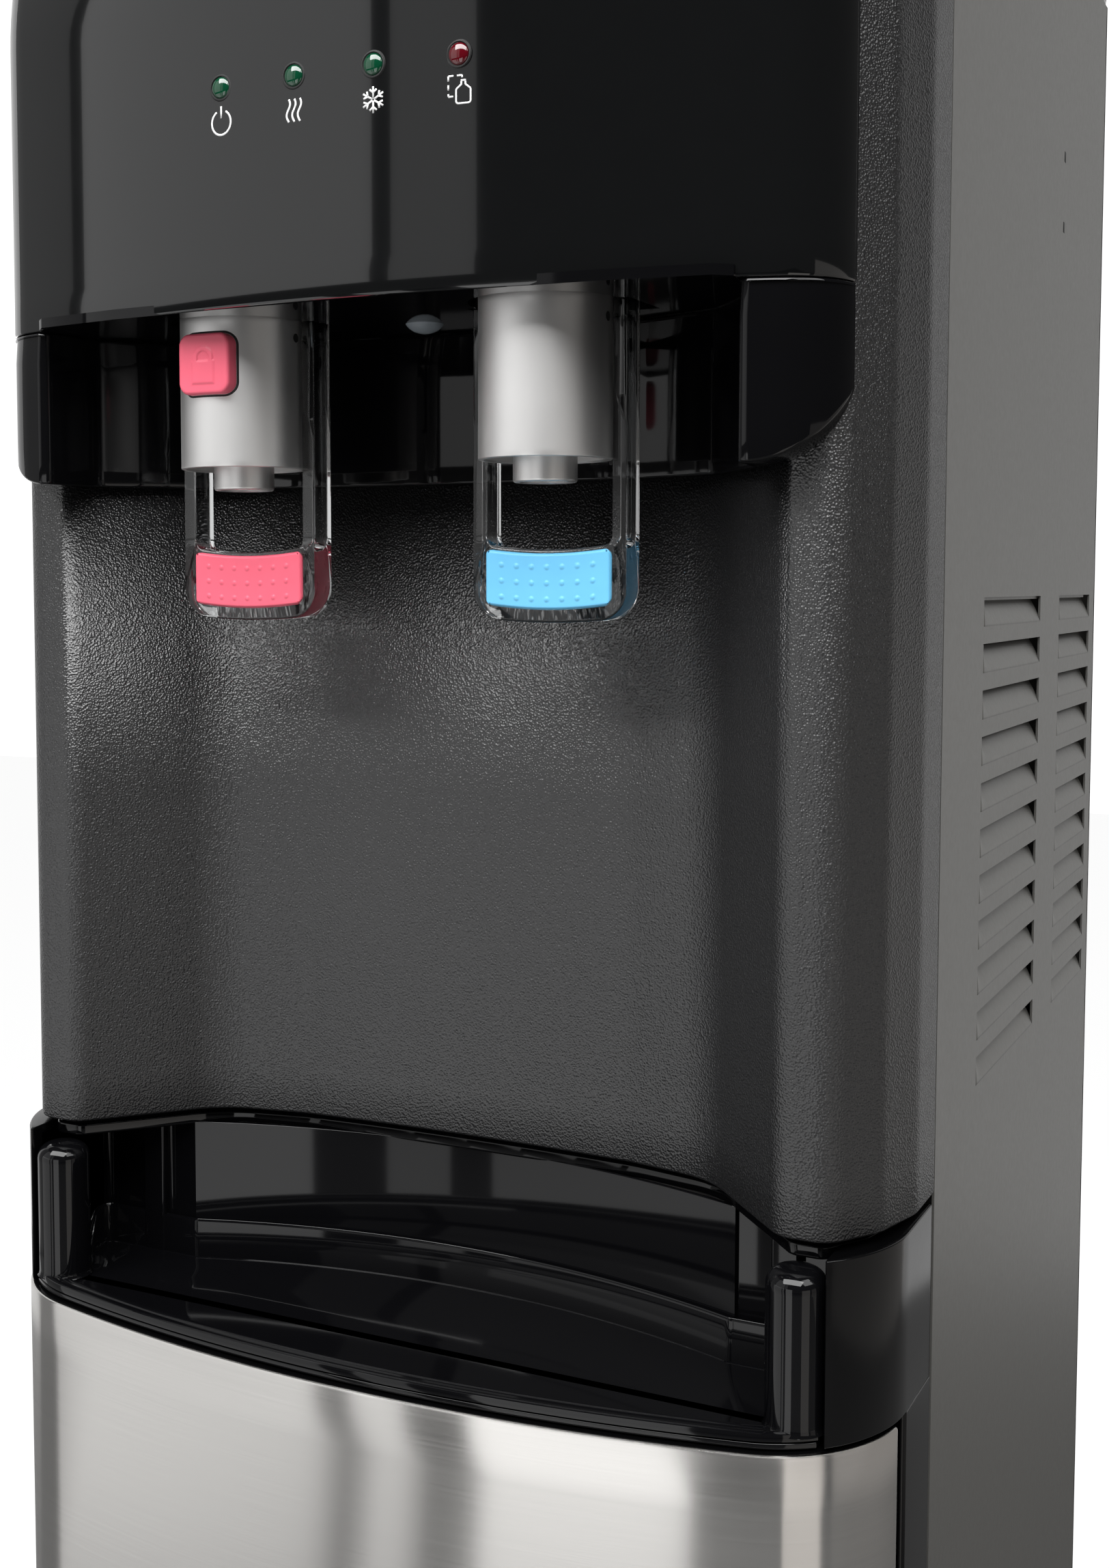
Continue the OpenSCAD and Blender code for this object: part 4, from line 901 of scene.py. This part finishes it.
for sign in (1, -1):
    sidePanel(sign)
print("sides")

studio = {"middle": -0.17, "fill": 0.05, "backdrop": 1.15, "floorGlow": 0.95, "floorGrey": 0.14,
          "floorHalf": 6000}


def emitter(name, size, place, aim, power, tint=(1, 1, 1)):
    # a soft rectangular panel turned towards aim, not seen itself
    lamp = bpy.data.lights.new(name, "AREA")
    lamp.shape = "RECTANGLE"
    lamp.size, lamp.size_y = size
    lamp.energy = power
    lamp.color = tint
    thing = bpy.data.objects.new(name, lamp)
    bpy.context.scene.collection.objects.link(thing)
    thing.location = place
    thing.rotation_mode = "QUATERNION"
    thing.rotation_quaternion = (Vector(aim) - Vector(place)).to_track_quat("-Z", "Y")
    thing.visible_camera = False


def polar(angle, distance, height):
    # angle 0 is straight in front of the door, positive to the viewer's right
    a = math.radians(angle)
    return (distance * math.sin(a), studio["middle"] - distance * math.cos(a), height)


def bank(name, start, end, low, high, glow, distance=1.7, tint=(1, 1, 1)):
    # upright panel that spans the angles start to end; power = glow * pi * width * height
    middle, level, height = (start + end) / 2, (low + high) / 2, high - low
    width = 2 * distance * math.tan(math.radians(end - start) / 2)
    emitter(name, (width, height), polar(middle, distance, level), (0, studio["middle"], level),
            glow * math.pi * width * height, tint)


# name, first and last angle, low, high, brightness, distance, tint; the front ones show as upright bands
bank("far left", -130, -92, 0.0, 2.2, 0.8)
bank("left edge", -91, -68, 0.0, 2.2, 0.2)
bank("high left", -66, -25.8, 0.8, 2.4, 0.68)
bank("high slim", -23.4, -13, 0.8, 2.4, 0.4)
bank("low left", -70, -32, 0.02, 0.75, 0.85, 0.85)
bank("low slim", -27.8, -21.4, 0.02, 0.75, 0.85, 0.85)
bank("low middle", -14, 10, 0.02, 0.75, 1.4, 0.85)
bank("low right", 44.3, 70.6, 0.02, 0.7, 0.75, 0.85, (1, 0.95, 0.9))
bank("right grey", 74, 150, 0.0, 0.85, 0.3, 1.5, (1, 0.95, 0.9))
bank("rim", 146, 172, 0.0, 2.3, 0.6)
bank("rear", 185, 235, 0.2, 2.3, 0.8, 2.0)
emitter("top bank", (2.4, 1.2), (0.0, -1.25, 2.3), (0, -0.1, 0.7), 75)
emitter("high right", (1.2, 1.2), (1.3, -0.5, 2.2), (0, 0, 0.7), 16)

world = bpy.data.worlds.new("studio")
world.use_nodes = True
bpy.context.scene.world = world
tree = world.node_tree
sky = tree.nodes["Background"]
setValues(sky, {"Color": (1, 0.99, 0.98, 1), "Strength": studio["fill"]})
white = addNode(tree, "Background", {"Color": (1, 1, 1, 1), "Strength": studio["backdrop"]})
seen = addNode(tree, "LightPath")
blend = addNode(tree, "MixShader")
join(tree, (seen, "Is Camera Ray", blend, "Fac"), (sky, "Background", blend, 1),
     (white, "Background", blend, 2), (blend, "Shader", tree.nodes["World Output"], "Surface"))

# the floor reflects like grey paint, and glows white only where it is looked at directly
floorPaint = shader("pale floor", (studio["floorGrey"],) * 3, 0.8, scale=4, spread=0.01)
tree = floorPaint.node_tree
paint = tree.nodes["Principled BSDF"]
glow = addNode(tree, "Emission", {"Strength": studio["floorGlow"]})
both = addNode(tree, "AddShader")
seen = addNode(tree, "LightPath")
pick = addNode(tree, "MixShader")
join(tree, (paint, "BSDF", both, 0), (glow, "Emission", both, 1), (seen, "Is Camera Ray", pick, "Fac"),
     (paint, "BSDF", pick, 1), (both, "Shader", pick, 2),
     (pick, "Shader", tree.nodes["Material Output"], "Surface"))
far = studio["floorHalf"]
floor = addMesh("floor", [(-far, -far, 0), (far, -far, 0), (far, far, 0), (-far, far, 0)], [[0, 1, 2, 3]],
                floorPaint)

view = {"lens": 42.54, "sensor": 36, "shiftX": 0.0376, "shiftY": -0.0438, "azimuth": 26.7, "elevation": 4.0,
        "x": 282.5, "ahead": 460.6, "z": 787.7}
camera = bpy.data.objects.new("camera", bpy.data.cameras.new("camera"))
bpy.context.scene.collection.objects.link(camera)
camera.data.lens = view["lens"]
camera.data.sensor_width = view["sensor"]
camera.data.shift_x = view["shiftX"]
camera.data.shift_y = view["shiftY"]
azimuth, elevation = math.radians(view["azimuth"]), math.radians(view["elevation"])
level = math.cos(elevation)
towards = -Vector((math.sin(azimuth) * level, -math.cos(azimuth) * level, math.sin(elevation)))
camera.location = Vector((view["x"], doorFront - view["ahead"], view["z"])) * mm
camera.rotation_mode = "QUATERNION"
camera.rotation_quaternion = towards.to_track_quat("-Z", "Y")
camera.data.clip_start = 0.01
bpy.context.scene.camera = camera
bpy.context.scene.view_settings.view_transform = "Standard"
print("studio")
